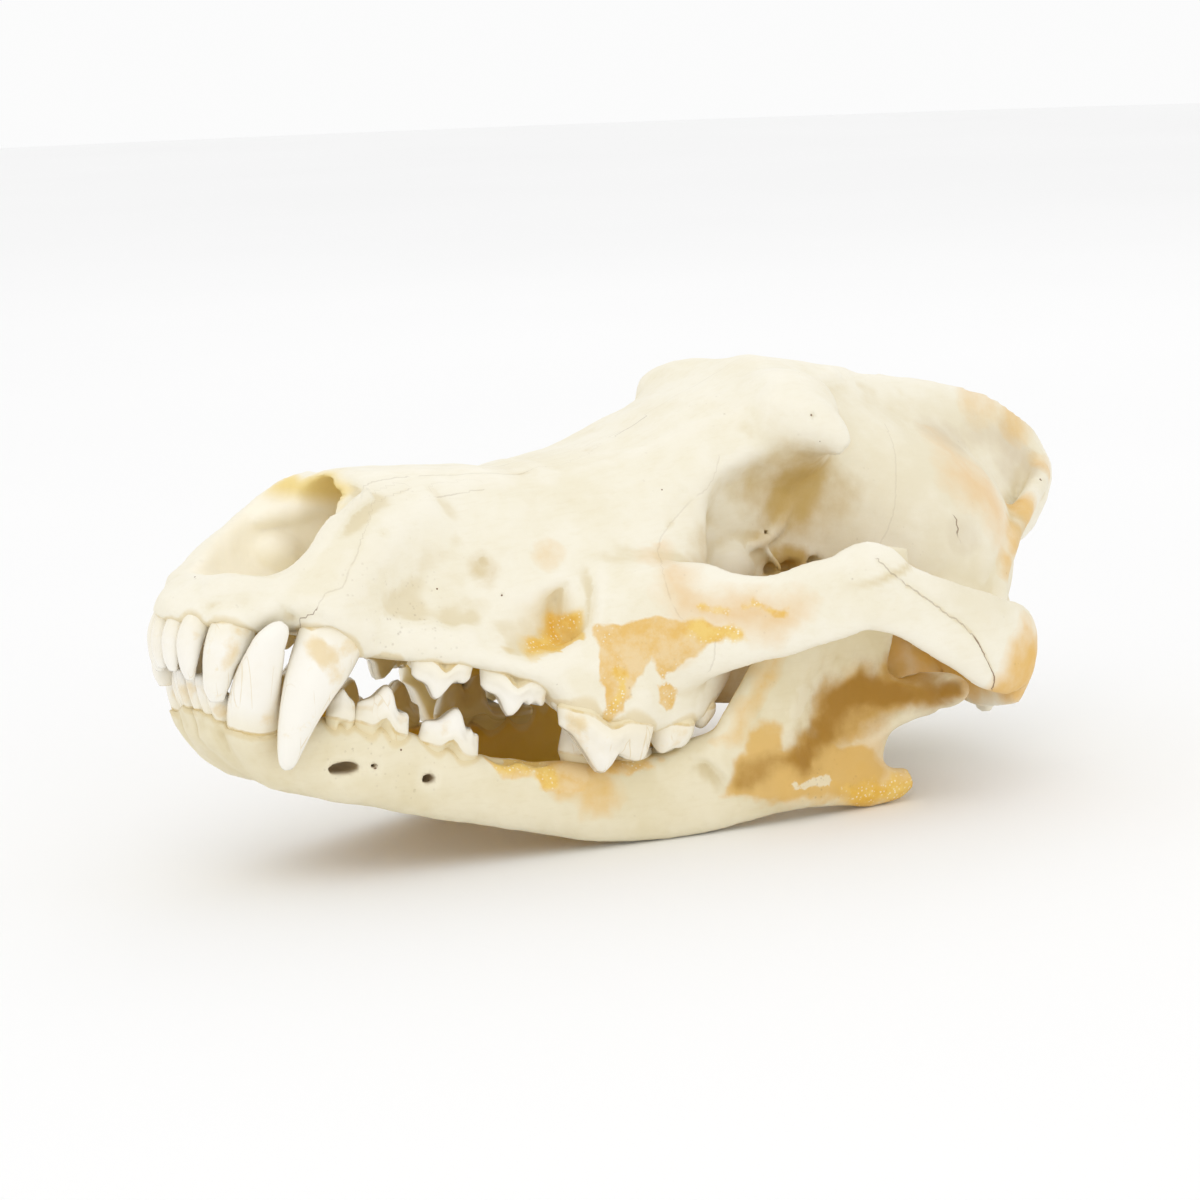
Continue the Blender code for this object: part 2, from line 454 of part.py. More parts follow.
def lower_teeth():
    """Name and body of each lower tooth of one side, front to back."""
    return [
        ("i1", peg([(18, 2.2, -22.4, 1.1, 1.6), (14.4, 2.2, -17.8, 1.6, 2.2),
                    (11.6, 2.2, -13.6, 1.8, 2.1), (8.9, 2.2, -9.5, 1.8, 1.4),
                    (7.7, 2.2, -7.2, 1.2, 0.7)])),
        ("i2", peg([(19.5, 4.7, -22.8, 1.3, 1.9), (15.8, 4.9, -18, 1.7, 2.5),
                    (12.8, 5.1, -13.8, 2.0, 2.4), (9.9, 5.1, -9.5, 1.9, 1.6),
                    (8.5, 5.1, -7.4, 1.3, 0.8)])),
        ("i3", peg([(22, 7.0, -23.6, 1.5, 2.3), (18.0, 7.4, -18.6, 2.1, 3.2),
                    (14.9, 7.8, -14.6, 2.4, 3.1), (11.8, 8.1, -10.8, 2.2, 2.2),
                    (10.3, 8.2, -8.3, 1.4, 1.0)])),
        ("c", peg([(31, 11.0, -27.5, 2.8, 4.0), (25.4, 11.8, -22.8, 4.0, 5.8),
                   (21.0, 12.9, -17.2, 4.6, 6.6), (18.6, 14.9, -11, 4.3, 5.9),
                   (17.9, 17.0, -4.5, 3.6, 4.7), (18.5, 19.0, 1.5, 2.5, 3.2),
                   (19.6, 20.4, 6.2, 1.1, 1.4)], around=12, step=5)),
        ("p1", blade((39.2, 17.4, -13.2), (6.8, 4.4), 10, -0.06, (0, 0.02),
                     [(-1, 2.4), (-0.2, 6.6), (0.35, 5.2), (1, 2.4)])),
        ("p2", blade((48.8, 19.6, -14.2), (13.6, 5.2), 13, -0.18, (0, 0.02),
                     [(-1, 2.6), (-0.8, 4.6), (-0.4, 6.9), (0.06, 9.6), (0.24, 8.4), (0.5, 4.6),
                      (0.9, 4.2), (1, 2.6)])),
        ("p3", blade((65.6, 22.8, -17.6), (15.2, 5.6), 13, -0.16, (0, 0.02),
                     [(-1, 2.4), (-0.84, 4.6), (-0.4, 6.4), (0.14, 9.4), (0.32, 7.8), (0.52, 4.8),
                      (0.86, 4.8), (1, 2.8)])),
        ("p4", blade((82.4, 25.8, -19.2), (15.8, 6.2), 13, -0.06, (0, 0),
                     [(-1, 2.4), (-0.7, 4.4), (-0.1, 10.2), (0.2, 8), (0.4, 5.8), (0.86, 4.6),
                      (1, 2.6)])),
        ("m1", blade((104, 28.6, -16.6), (27.0, 8.6), 13, -0.01, (0, -0.12),
                     [(-1, 5.2), (-0.86, 8.4), (-0.7, 10.2), (-0.5, 7.6), (-0.22, 13.0), (-0.06, 10.6),
                      (0.1, 6.2), (0.3, 4.2), (0.8, 3.8), (1, 2.6)], full=3, root=6, around=16, rise=5)),
        ("m2", table((122.6, 33.0, -15.3), (10.2, 7.4), 14, 0.12, (0, -0.06),
                     [(-0.35, 0.4, 1.2, 0.4), (-0.35, -0.4, 1, 0.4)], 2.4)),
        ("m3", table((130.4, 35.2, -12.6), (4.8, 4.8), 14, 0.3, (0, -0.05),
                     [(0, 0, 0.6, 0.5)], 2.0, around=8, rise=3, below=1)),
    ]


def flipped(body):
    """The mirror image of a body across the midline."""
    points, tris, quads = body
    return points * (1, -1, 1), tris[:, ::-1], quads[:, ::-1]


# Blender objects
def material(name, look):
    colour, rough = look
    made = bpy.data.materials.new(name)
    made.use_nodes = True
    shader = made.node_tree.nodes["Principled BSDF"]
    shader.inputs["Base Color"].default_value = (*colour, 1)
    shader.inputs["Roughness"].default_value = rough
    shader.inputs["Metallic"].default_value = 0.0
    return made


def solid(name, points, faces, collection):
    mesh = bpy.data.meshes.new(name)
    mesh.from_pydata((points * MM).tolist(), [], faces)
    mesh.update()
    made = bpy.data.objects.new(name, mesh)
    collection.objects.link(made)
    return made


def applied(obj):
    """Keeps the object's mesh as its modifiers leave it, and drops the modifiers."""
    graph = bpy.context.evaluated_depsgraph_get()
    mesh = bpy.data.meshes.new_from_object(obj.evaluated_get(graph))
    old = obj.data
    obj.modifiers.clear()
    obj.data = mesh
    bpy.data.meshes.remove(old)


def lightened(obj, faces):
    """Collapses the even skin of the field to about the number of triangles wanted."""
    now = 2 * len(obj.data.polygons)
    fewer = obj.modifiers.new("fewer faces", "DECIMATE")
    fewer.ratio = faces / now
    applied(obj)


def fused(obj, teeth, name):
    """Joins the teeth, each a closed body sunk into the bone, to the bone they grow from."""
    group = bpy.data.collections.new(name)
    bpy.context.scene.collection.children.link(group)
    for tooth, (points, tris, quads) in teeth:
        solid(tooth, points, tris.tolist() + quads.tolist(), group)
    union = obj.modifiers.new("teeth", "BOOLEAN")
    union.operation = "UNION"
    union.operand_type = "COLLECTION"
    union.collection = group
    applied(obj)
    for tooth in list(group.objects):
        bpy.data.objects.remove(tooth)
    bpy.data.collections.remove(group)


def finished(obj, look, rest):
    obj.data.name = obj.name
    obj.data.materials.clear()
    obj.data.materials.append(material(obj.name, look))
    obj.data.shade_smooth()
    obj.parent = rest


def make_cranium(scene, rest):
    field = Field(*CRANIUM_BOX)
    points, quads = field.surface(cranium_bone(field))
    bone = solid("cranium", points, quads.tolist(), scene)
    lightened(bone, CRANIUM_FACES)
    upper = upper_teeth()
    teeth = [("right_" + name, body) for name, body in upper]
    teeth += [("left_" + name, flipped(body)) for name, body in upper if name != "P1"]
    fused(bone, teeth, "upper teeth")
    finished(bone, BONE, rest)
    return bone


def make_mandible(scene, rest, side, values, field):
    points, quads = field.surface(values)
    lower = lower_teeth()
    teeth = [(side + "_" + name, body) for name, body in lower if side == "right" or name != "p4"]
    if side == "left":
        points = points * (1, -1, 1)
        quads = quads[:, ::-1]
        teeth = [(name, flipped(body)) for name, body in teeth]
    bone = solid("mandible_" + side, points, quads.tolist(), scene)
    lightened(bone, MANDIBLE_FACES)
    fused(bone, teeth, side + " lower teeth")
    finished(bone, JAW_BONE, rest)
    return bone


def settle(rest, bones):
    """Tips the skull nose up until the jaw rests on the ground.

    The bottom centre of its box is then at the origin.
    """
    rest.rotation_euler.y = math.radians(REST_PITCH)
    tipped = np.array(Matrix.Rotation(math.radians(REST_PITCH), 3, "Y"))
    points = np.array([vertex.co for bone in bones for vertex in bone.data.vertices]) @ tipped.T
    low, high = points.min(0), points.max(0)
    rest.location = (-(low[0] + high[0]) / 2, -(low[1] + high[1]) / 2, -low[2])


def main():
    for obj in list(bpy.data.objects):
        bpy.data.objects.remove(obj)
    scene = bpy.context.scene.collection
    rest = bpy.data.objects.new("skull_at_rest", None)
    scene.objects.link(rest)
    bones = [make_cranium(scene, rest)]
    field = Field(*MANDIBLE_BOX)
    values = mandible_bone(field)
    for side in ("left", "right"):
        bones.append(make_mandible(scene, rest, side, values, field))
    settle(rest, bones)


main()
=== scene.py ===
"""A wolf skull: dry bone with its sutures, pits, porous ochre patches and stains, and enamelled teeth.

Places and lengths in the tables are millimetres in the skull's own frame, as the CAD part has them: x runs
back from the front of the upper jaw, y out to the animal's right from the midline, z up from the line of
the upper tooth row. at_rest() tips them into the resting pose and turns them into metres.
"""

import math

import bpy
import numpy as np
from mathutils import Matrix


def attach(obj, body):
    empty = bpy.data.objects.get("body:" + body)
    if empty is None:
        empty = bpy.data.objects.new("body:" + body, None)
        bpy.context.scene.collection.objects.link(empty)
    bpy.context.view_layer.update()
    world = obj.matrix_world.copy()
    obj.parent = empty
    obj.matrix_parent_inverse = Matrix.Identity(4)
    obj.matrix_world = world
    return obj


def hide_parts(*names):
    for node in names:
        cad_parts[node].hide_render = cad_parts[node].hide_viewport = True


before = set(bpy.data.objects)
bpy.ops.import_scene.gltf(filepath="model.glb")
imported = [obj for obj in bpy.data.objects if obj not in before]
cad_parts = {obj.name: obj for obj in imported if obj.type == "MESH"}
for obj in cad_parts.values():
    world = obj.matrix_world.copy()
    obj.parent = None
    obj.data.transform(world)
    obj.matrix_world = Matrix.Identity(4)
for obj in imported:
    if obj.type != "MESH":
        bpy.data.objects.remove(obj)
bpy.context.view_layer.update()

import openvdb
from mathutils import Matrix, Vector

# The skull's resting pose and the fineness of its skins
MM = 0.001
REST_PITCH = 12.6
REST_PLACE = (-134.497, 0.003, 60.467)
CRANIUM_CELL = 1.08
MANDIBLE_CELL = 0.8
BAND = 9.0
HALF_GAP = 0.2
CRANIUM_BOX = ((-12.0, -78.0, -16.0), (270.0, 78.0, 92.0))
MANDIBLE_BOX = ((4.0, -4.0, -42.0), (202.0, 70.0, 50.0))

# The camera, fitted to the photograph in the skull's own frame: degrees and millimetres
CAMERA_TURN = 36.3743
CAMERA_RISE = 3.1748
CAMERA_ROLL = 8.1325
CAMERA_REACH = 811.6
CAMERA_AIM = (119.779, 0.0, 17.941)
LENS = 99.637


# Curves and closed bodies
def eased(knots, t):
    """Reads a smooth curve through the knot rows at t; column 0 of the knots is its parameter."""
    k = np.asarray(knots, float)
    x, v = k[:, 0], k[:, 1:]
    h = np.diff(x)[:, None]
    s = np.diff(v, axis=0) / h
    m = np.empty_like(v)
    m[0], m[-1] = s[0], s[-1]
    if len(x) > 2:
        near, far = 2 * h[1:] + h[:-1], h[1:] + 2 * h[:-1]
        flat = s[:-1] * s[1:] <= 0
        before = np.where(flat, 1.0, s[:-1])
        after = np.where(flat, 1.0, s[1:])
        m[1:-1] = np.where(flat, 0.0, (near + far) / (near / before + far / after))
    t = np.asarray(t, float)
    i = np.clip(np.searchsorted(x, t, side="right") - 1, 0, len(x) - 2)
    u = ((t - x[i]) / h[i, 0])[:, None]
    g = h[i]
    start = (2 * u**3 - 3 * u**2 + 1) * v[i] + (u**3 - 2 * u**2 + u) * g * m[i]
    end = (3 * u**2 - 2 * u**3) * v[i + 1] + (u**3 - u**2) * g * m[i + 1]
    return start + end


def closed(grid):
    """Points, triangles and quads of a tube of rings, grid[rings, around, 3], with a pole at each end."""
    r, a, _ = grid.shape
    points = np.concatenate([grid.reshape(-1, 3), grid[:1].mean(1), grid[-1:].mean(1)])
    i = np.arange(r - 1)[:, None] * a
    j = np.arange(a)[None, :]
    n = (j + 1) % a
    quads = np.stack([i + j, i + n, i + a + n, i + a + j], -1).reshape(-1, 4)
    j, n = j[0], n[0]
    first = np.stack([np.full(a, r * a), n, j], 1)
    last = np.stack([np.full(a, r * a + 1), (r - 1) * a + j, (r - 1) * a + n], 1)
    return points, np.concatenate([first, last]), quads


def power_of(a, share):
    """The size of a raised to the share, with a's sign kept."""
    return np.sign(a) * np.abs(a) ** share


def limb(rows, ref=(0, 0, 1), power=2.2, step=2.0, around=40, facing=None):
    """Carries an oval along a path: rows of x, y, z, half width, half height and the top's share of width.
    At angle a the section lies at cos(a)^(2/power) across and sin(a)^(2/power) up, each with its own sign."""
    k = np.asarray(rows, float)
    if k.shape[1] == 5:
        k = np.concatenate([k, np.ones((len(k), 1))], 1)
    along = np.concatenate([[0], np.cumsum(np.linalg.norm(np.diff(k[:, :3], axis=0), axis=1))])
    t = np.linspace(0, along[-1], max(6, int(along[-1] / step) + 2))
    v = eased(np.column_stack([along, k]), t)
    c, w, h, top = v[:, :3], v[:, 3], v[:, 4], v[:, 5]
    if facing is None:
        ahead = np.gradient(c, t, axis=0)
    else:
        ahead = np.tile(np.asarray(facing, float), (len(c), 1))
    ahead /= np.linalg.norm(ahead, axis=1)[:, None]
    side = np.cross(np.asarray(ref, float), ahead)
    side /= np.linalg.norm(side, axis=1)[:, None]
    high = np.cross(ahead, side)
    a = np.linspace(0, 2 * np.pi, around, endpoint=False)
    across = power_of(np.cos(a), 2 / power)
    upward = power_of(np.sin(a), 2 / power)
    share = 1 + (top[:, None] - 1) * (upward[None, :] + 1) / 2
    grid = c[:, None] + side[:, None] * (w[:, None] * across * share)[..., None]
    return closed(grid + high[:, None] * (h[:, None] * upward)[..., None])


def hull(rows, power=2.6, step=2.5, around=56, offset=None):
    """A body along x: rows of x, top, bottom, half width low and half width high. offset, rows of x and y,
    moves it off the midline."""
    k = np.asarray(rows, float)
    middle = (k[:, 1] + k[:, 2]) / 2
    y = 0 * middle if offset is None else eased(offset, k[:, 0])[:, 0]
    columns = [k[:, 0], y, middle, k[:, 3], (k[:, 1] - k[:, 2]) / 2, k[:, 4] / k[:, 3]]
    return limb(np.column_stack(columns), power=power, step=step, around=around, facing=(1, 0, 0))


def ball(centre, radii, turn=(0, 0, 0), n=28):
    """An ellipsoid, turned by degrees about x, y and z."""
    v = np.linspace(0, np.pi, n // 2 + 1)[1:-1, None]
    u = np.linspace(0, 2 * np.pi, n, endpoint=False)[None, :]
    rings = np.stack([-np.cos(v) + 0 * u, np.sin(v) * np.cos(u), np.sin(v) * np.sin(u)], -1)
    points, tris, quads = closed(rings)
    points[-2:] = ((-1, 0, 0), (1, 0, 0))
    turned = Matrix.Identity(3)
    for axis, angle in zip("XYZ", turn):
        turned = Matrix.Rotation(math.radians(angle), 3, axis) @ turned
    return (points * radii) @ np.array(turned).T + centre, tris, quads


# Distance fields, in which bodies grow together with a fillet
def over_gum(x, z, gum, up):
    """The height over a gum line: a place x, z on it, its slope, and how far it arches round the tooth."""
    at_x, at_z, slope, bow = gum
    return up * (z - at_z - slope * (x - at_x)) + bow * np.clip(1 - ((x - at_x) / 7) ** 2, 0, 1)


class Field:
    """A block of space in cells, in which each closed body becomes its signed distance, negative inside."""

    def __init__(self, box, cell):
        """The block that holds the box, its low and high corners, in cells of the given edge."""
        self.cell = cell
        self.low = np.floor(np.asarray(box[0]) / cell).astype(int)
        self.shape = tuple(np.ceil(np.asarray(box[1]) / cell).astype(int) - self.low + 1)
        self.scale = openvdb.createLinearTransform(cell)

    def distance(self, body):
        """The distance from each cell to the skin of a closed body, less than nought within it."""
        points, tris, quads = body
        grid = openvdb.FloatGrid.createLevelSetFromPolygons(
            np.ascontiguousarray(points, np.float32),
            np.ascontiguousarray(tris, np.uint32),
            np.ascontiguousarray(quads, np.uint32),
            self.scale,
            BAND / self.cell,
        )
        values = np.empty(self.shape, np.float32)
        grid.copyToArray(values, ijk=tuple(int(n) for n in self.low))
        return values

    def y(self):
        """How far out each layer of cells lies from the midline."""
        return ((self.low[1] + np.arange(self.shape[1])) * self.cell)[None, :, None]

    def height_over(self, gum, up):
        """The height of each place over a gum line x, z, slope, bow, towards the tips of the teeth."""
        x, _, z = ((self.low[axis] + np.arange(self.shape[axis])) * self.cell for axis in range(3))
        return over_gum(x[:, None], z[None, :], gum, up)[:, None, :]

    def surface(self, values):
        """Points in millimetres and quads of the surface where the distance is nought."""
        grid = openvdb.FloatGrid(BAND)
        grid.copyFromArray(np.ascontiguousarray(values, np.float32), ijk=tuple(int(n) for n in self.low))
        grid.transform = self.scale
        points, quads = grid.convertToQuads(0.0)
        return points.astype(float), quads.astype(int)

    def read(self, values, points):
        """The distance at each point: the mean of the eight cells round it, weighed by how near each is."""
        place = np.clip(points / self.cell - self.low, 0, np.array(self.shape) - 1.001)
        cell = place.astype(int)
        part = place - cell
        total = np.zeros(len(points))
        for corner in np.ndindex(2, 2, 2):
            weight = np.where(corner, part, 1 - part).prod(1)
            total += weight * values[tuple((cell + corner).T)]
        return total


def join(a, b, k):
    """Union with a fillet about k wide."""
    h = np.clip(k - np.abs(a - b), 0, None) / k
    return np.minimum(a, b) - h * h * k / 4


def cut(a, b, k):
    """a without b, with its edge eased over k."""
    return -join(-a, b, k)


def both(a):
    """A body and its mirror image across the midline."""
    return np.minimum(a, a[:, ::-1])


# Bones
def upper_jaw_and_brow(field):
    """The front of the cranium: the face, the brow, the canine's root and the row of cheek teeth, joined,
    less the hollow of each eye. Gives its distances and those of the eye's hollow."""
    d = field.distance
    face = d(hull([
        (-0.4, 8.5, 5, 2.6, 2.2), (1.6, 10.5, 3.5, 5.6, 4.6), (5, 13.2, 3.4, 9.6, 7.8),
        (9, 15.2, 3.2, 13.6, 11),
        (14, 18.4, 3.2, 17.4, 14), (19, 21.6, 3.6, 20, 15.8), (25, 27, 4, 21.8, 16),
        (30, 32.6, 4, 22.6, 15.6),
        (34, 37.2, 3.4, 23, 14.3), (40, 41.4, 2, 23, 12.6), (50, 43.2, 1.2, 23, 13),
        (62, 44.8, 1.6, 24.5, 14.3),
        (75, 46.2, 1.6, 28.5, 16.6), (86, 47, -1.2, 33.5, 18.6), (98, 47.8, -6.6, 39, 22.5),
        (108, 50, -8.6, 42, 26),
        (118, 54.5, -8, 41, 28), (127, 59.5, -4, 35, 27)], power=3.0))
    brow = d(hull([
        (92, 47, 36, 16, 12), (102, 48.2, 38, 20, 15), (112, 51, 40, 24, 17.5), (121, 55.8, 44, 27, 19),
        (129, 62.2, 48, 28.5, 19), (137, 68.8, 52, 29.5, 18.5), (145, 75.4, 55, 30, 18.5),
        (151, 80.2, 57, 30, 17.5),
        (157, 81.2, 59, 27, 15), (165, 81.2, 61, 19, 11), (173, 81.0, 63, 12, 6), (184, 80.8, 66, 7, 2)],
                  power=2.5))
    boss = d(ball((154.5, 18.5, 67), (14.5, 11.3, 13)))
    walls = d(hull([
        (100, 48, 4, 24, 20), (115, 56, 4, 22, 24), (125, 62, 5, 19, 25), (135, 69, 6, 17.5, 25),
        (147, 74, 8, 16, 24), (158, 74, 9, 17, 21), (167, 74, 10, 19, 18), (176, 74, 11, 22, 15),
        (190, 72, 12, 27, 14)], power=2.8))
    canine_root = d(limb([
        (31, 19.4, 7.5, 5.4, 7.2), (34.5, 18.9, 12, 5.6, 7.6), (38.5, 17.8, 18, 5, 7.5),
        (48, 15.5, 27, 3.5, 6),
        (58, 13.5, 33, 2, 4)]))
    tooth_row = d(hull(
        [(40, 9, 2.8, 3.6, 3), (50, 9, 1.8, 4.4, 3.6), (62, 9, 2.0, 4.8, 4), (72, 9, 1.6, 5, 4),
         (80, 8, 0.2, 5, 4), (86.5, 8, -2.2, 5.6, 4.6), (90, 8, -6.2, 6.2, 5), (98, 8, -8.0, 7.6, 6),
         (108, 8, -8.8, 7.8, 6),
         (118, 8, -8.6, 7.2, 6), (126, 8, -6.2, 6, 5), (132, 8, -2, 4.4, 4), (138, 10, 4, 2, 2)],
        power=3.2,
        offset=[(40, 19.4), (50, 21.4), (62, 24.0), (72, 26.4), (80, 28.2), (88, 30.4), (98, 32.8),
                (108, 34.2),
                (118, 33.8), (126, 32.2), (132, 30.8), (138, 29)]))
    orbit = d(ball((140.5, 52, 47), (26, 30, 17.2), (0, 0, 6)))
    below_orbit = d(ball((140, 40, 20), (15, 19, 12)))
    bone = join(face, brow, 9)
    bone = join(bone, both(boss), 6)
    bone = join(bone, walls, 7)
    bone = join(bone, both(canine_root), 6)
    bone = cut(bone, both(orbit), 1.6)
    bone = join(bone, both(tooth_row), 8)
    return cut(bone, both(below_orbit), 3), both(orbit)


def braincase(field):
    """The rear of the cranium: the case and its floor, the crest along the top, and the back wall with its
    raised rim, joined with fillets."""
    d = field.distance
    brain = d(hull([
        (160, 70, 22, 17, 15), (170, 71, 19, 21, 19), (182, 72, 16, 28.5, 25), (194, 72, 15, 33, 29),
        (206, 71.5, 14.5, 34, 30), (216, 70, 14.5, 33, 28), (225, 66, 15, 29, 25), (234, 60, 17, 22, 19),
        (241, 54, 20, 13, 12)], power=2.2))
    floor = d(hull([
        (150, 22, 9, 12, 12), (165, 23, 10, 14, 16), (185, 24, 10, 17, 20), (205, 25, 10, 19, 24),
        (222, 27, 12, 17, 21), (235, 28, 15, 14, 17), (243, 26, 17, 8, 9)]))
    crest = d(hull([
        (156, 80.2, 58, 18, 8), (166, 80.8, 56, 16, 5), (176, 81.3, 56, 15, 2.6),
        (190, 82.2, 56, 14, 1.7),
        (205, 83.2, 56, 13, 1.5), (219, 83.3, 52, 13, 1.5), (233, 82.1, 48, 12, 1.5),
        (241, 80.4, 45, 11, 1.6),
        (249, 77.4, 44, 9, 1.7), (256, 72.6, 48, 6, 1.9), (260.5, 67, 56, 3, 2)]))
    back_wall = d(limb([
        (214, 0, 38, 31, 24), (223, 0, 38, 27, 23), (230, 0, 37, 21, 20), (237, 0, 35, 13.5, 14),
        (242.5, 0, 34, 8, 8)], power=2.3, facing=(1, 0, 0)))
    back_ridge = d(hull([
        (228, 72, 44, 17, 5), (237, 71, 44, 12.5, 4.5), (246, 68, 47, 8, 4), (253, 65, 53, 4, 2.5)],
                        power=2.2))
    swelling = d(ball((240, 0, 46), (8, 8, 13)))
    rear_crest = d(limb([
        (257.8, 0, 64, 4, 2.8), (253, 6, 63, 3.2, 2.5), (246.5, 12, 59.2, 2.8, 2.3),
        (237.5, 18, 53, 2.8, 2.3),
        (229, 23.5, 45.5, 2.9, 2.3), (222.5, 28.2, 38, 3.1, 2.4), (219, 31.4, 28.5, 3.8, 3),
        (218, 32, 20, 4, 4)], ref=(1, 0, 0.2)))
    bone = join(brain, floor, 6)
    bone = join(bone, crest, 7)
    bone = join(bone, back_wall, 6)
    bone = join(bone, back_ridge, 5)
    bone = join(bone, swelling, 5)
    return join(bone, both(rear_crest), 3)


def cheek_arch(field):
    """The arch beside the eye, from the cheek back to its root, with the stop behind the jaw's hinge."""
    d = field.distance
    arch = d(limb([
        (100, 27, 15, 8, 12), (110, 34, 16, 7.5, 13.5), (118, 40, 18, 6.5, 13.5),
        (126, 46.5, 20.5, 4.8, 11.5),
        (133, 52.5, 22.8, 3.8, 10), (142, 58.3, 27.2, 3.3, 9.5), (151, 62.6, 30.8, 3.0, 9.2),
        (161, 65.8, 29, 2.9, 8.1), (171, 67.6, 26.2, 3.0, 9), (180, 68, 24, 3.2, 9.9),
        (188, 67.2, 21.8, 3.6, 10.8), (196, 64.5, 20.6, 4.6, 11), (202.5, 59, 19.5, 5.8, 10),
        (205.5, 50, 19.5, 7, 8), (206, 40, 22, 8, 8), (205, 28, 24, 9, 9)], power=2.4))
    peak = d(ball((150.5, 62.3, 36.5), (7, 2.8, 5.5), (0, 0, 30)))
    stop = d(limb([(207, 34, 14, 3, 6), (206.5, 44, 11, 3.2, 6.5), (206.5, 52, 12, 3.4, 6.5),
                   (206, 58, 13, 3.2, 6)]))
    ear = d(limb([(209, 30, 19, 6, 6), (209, 38, 20, 5, 6), (211, 43, 22, 4, 5)]))
    bone = join(arch, peak, 4)
    bone = join(bone, stop, 4)
    return join(bone, ear, 4)


def nose_scrolls(field):
    """The folded bones inside the nose: a partition, and rolled plates and a swelling along each side."""
    d = field.distance
    partition = d(hull([(26, 15.5, 11, 1, 0.8), (40, 19, 11, 1, 0.8), (62, 30, 12, 1, 0.9),
                        (84, 38, 14, 1, 1)]))
    swelling = d(ball((34.5, 11.4, 20.8), (6.2, 4.4, 5.0)))
    ledge = d(limb([(27, 12.4, 27.2, 1.8, 1.4), (31, 11.8, 28.9, 3.0, 2.5), (36.5, 10.9, 30.7, 3.6, 3.1),
                    (42, 10.0, 32.5, 3.0, 2.7), (48, 8.6, 34.0, 2.2, 2.0)]))
    outer = d(limb([(46, 7.6, 22, 1.4, 3.0), (56, 7.4, 25, 1.7, 6.0), (72, 7.2, 27, 1.7, 7.0),
                    (86, 6, 28, 1.6, 5)]))
    inner = d(limb([(46, 4.0, 26, 0.9, 3.0), (58, 3.8, 28, 1.0, 6.0), (76, 3.6, 30, 1.0, 6.0),
                    (88, 3, 30, 0.8, 4)]))
    scrolls = join(both(join(outer, inner, 1)), join(swelling, ledge, 2), 1.5)
    return join(scrolls, partition, 1)


def orbit_detail(field, bone):
    """The openings and thin ridges on the wall behind and below the eye."""
    d = field.distance
    swelling = d(ball((142.5, 17.5, 31), (7.5, 4.4, 5.8), (0, 12, 0)))
    spur = d(limb([(158, 19.6, 47, 0.7, 1.2), (156, 20.4, 42, 1.0, 1.0), (152.6, 20.6, 38, 1.1, 1.0),
                   (147, 20.2, 35.8, 0.8, 0.8)], ref=(0, 1, 0)))
    strut = d(limb([(151, 19.6, 37.5, 0.7, 0.7), (155, 20.2, 34, 0.8, 0.8), (159, 20.4, 30, 0.7, 0.8)],
                   ref=(0, 1, 0)))
    bone = join(bone, both(swelling), 3)
    for centre, radii, edge in (
            ((162.5, 19, 32), (3.0, 5.0, 2.0), 0.8), ((157, 18.6, 31), (2.4, 5, 1.7), 0.8),
            ((168.5, 20, 34), (1.9, 5, 1.6), 0.8), ((152.6, 19.5, 40.0), (0.9, 3.4, 0.8), 0.5),
            ((149.8, 19.6, 38.0), (0.8, 3.4, 0.7), 0.5), ((172, 20, 27), (2.2, 5, 1.8), 0.8),
            ((184, 24, 19), (2.8, 5, 2.2), 1.0)):
        bone = cut(bone, both(d(ball(centre, radii))), edge)
    bone = join(bone, both(spur), 1.2)
    return join(bone, both(strut), 1.0)


def underside_detail(field, bone):
    """Slots and openings of the palate and the skull's base, and the ear's opening."""
    d = field.distance
    slots = both(d(ball((22, 3.6, 4.5), (6.5, 1.7, 5), (0, 0, -6))))
    palate_holes = both(d(ball((92, 11.5, 4), (2.6, 1.1, 4), (0, 0, 12))))
    ear_hole = both(d(limb([(211, 20, 16, 2.6, 2.6), (211.5, 34, 17.5, 2.8, 3.0), (212, 48, 19, 3.2, 3.4)])))
    base_holes = both(d(ball((222, 15, 10), (2.4, 2.0, 4))))
    for part in (slots, palate_holes, ear_hole, base_holes):
        bone = cut(bone, part, 0.8)
    return bone


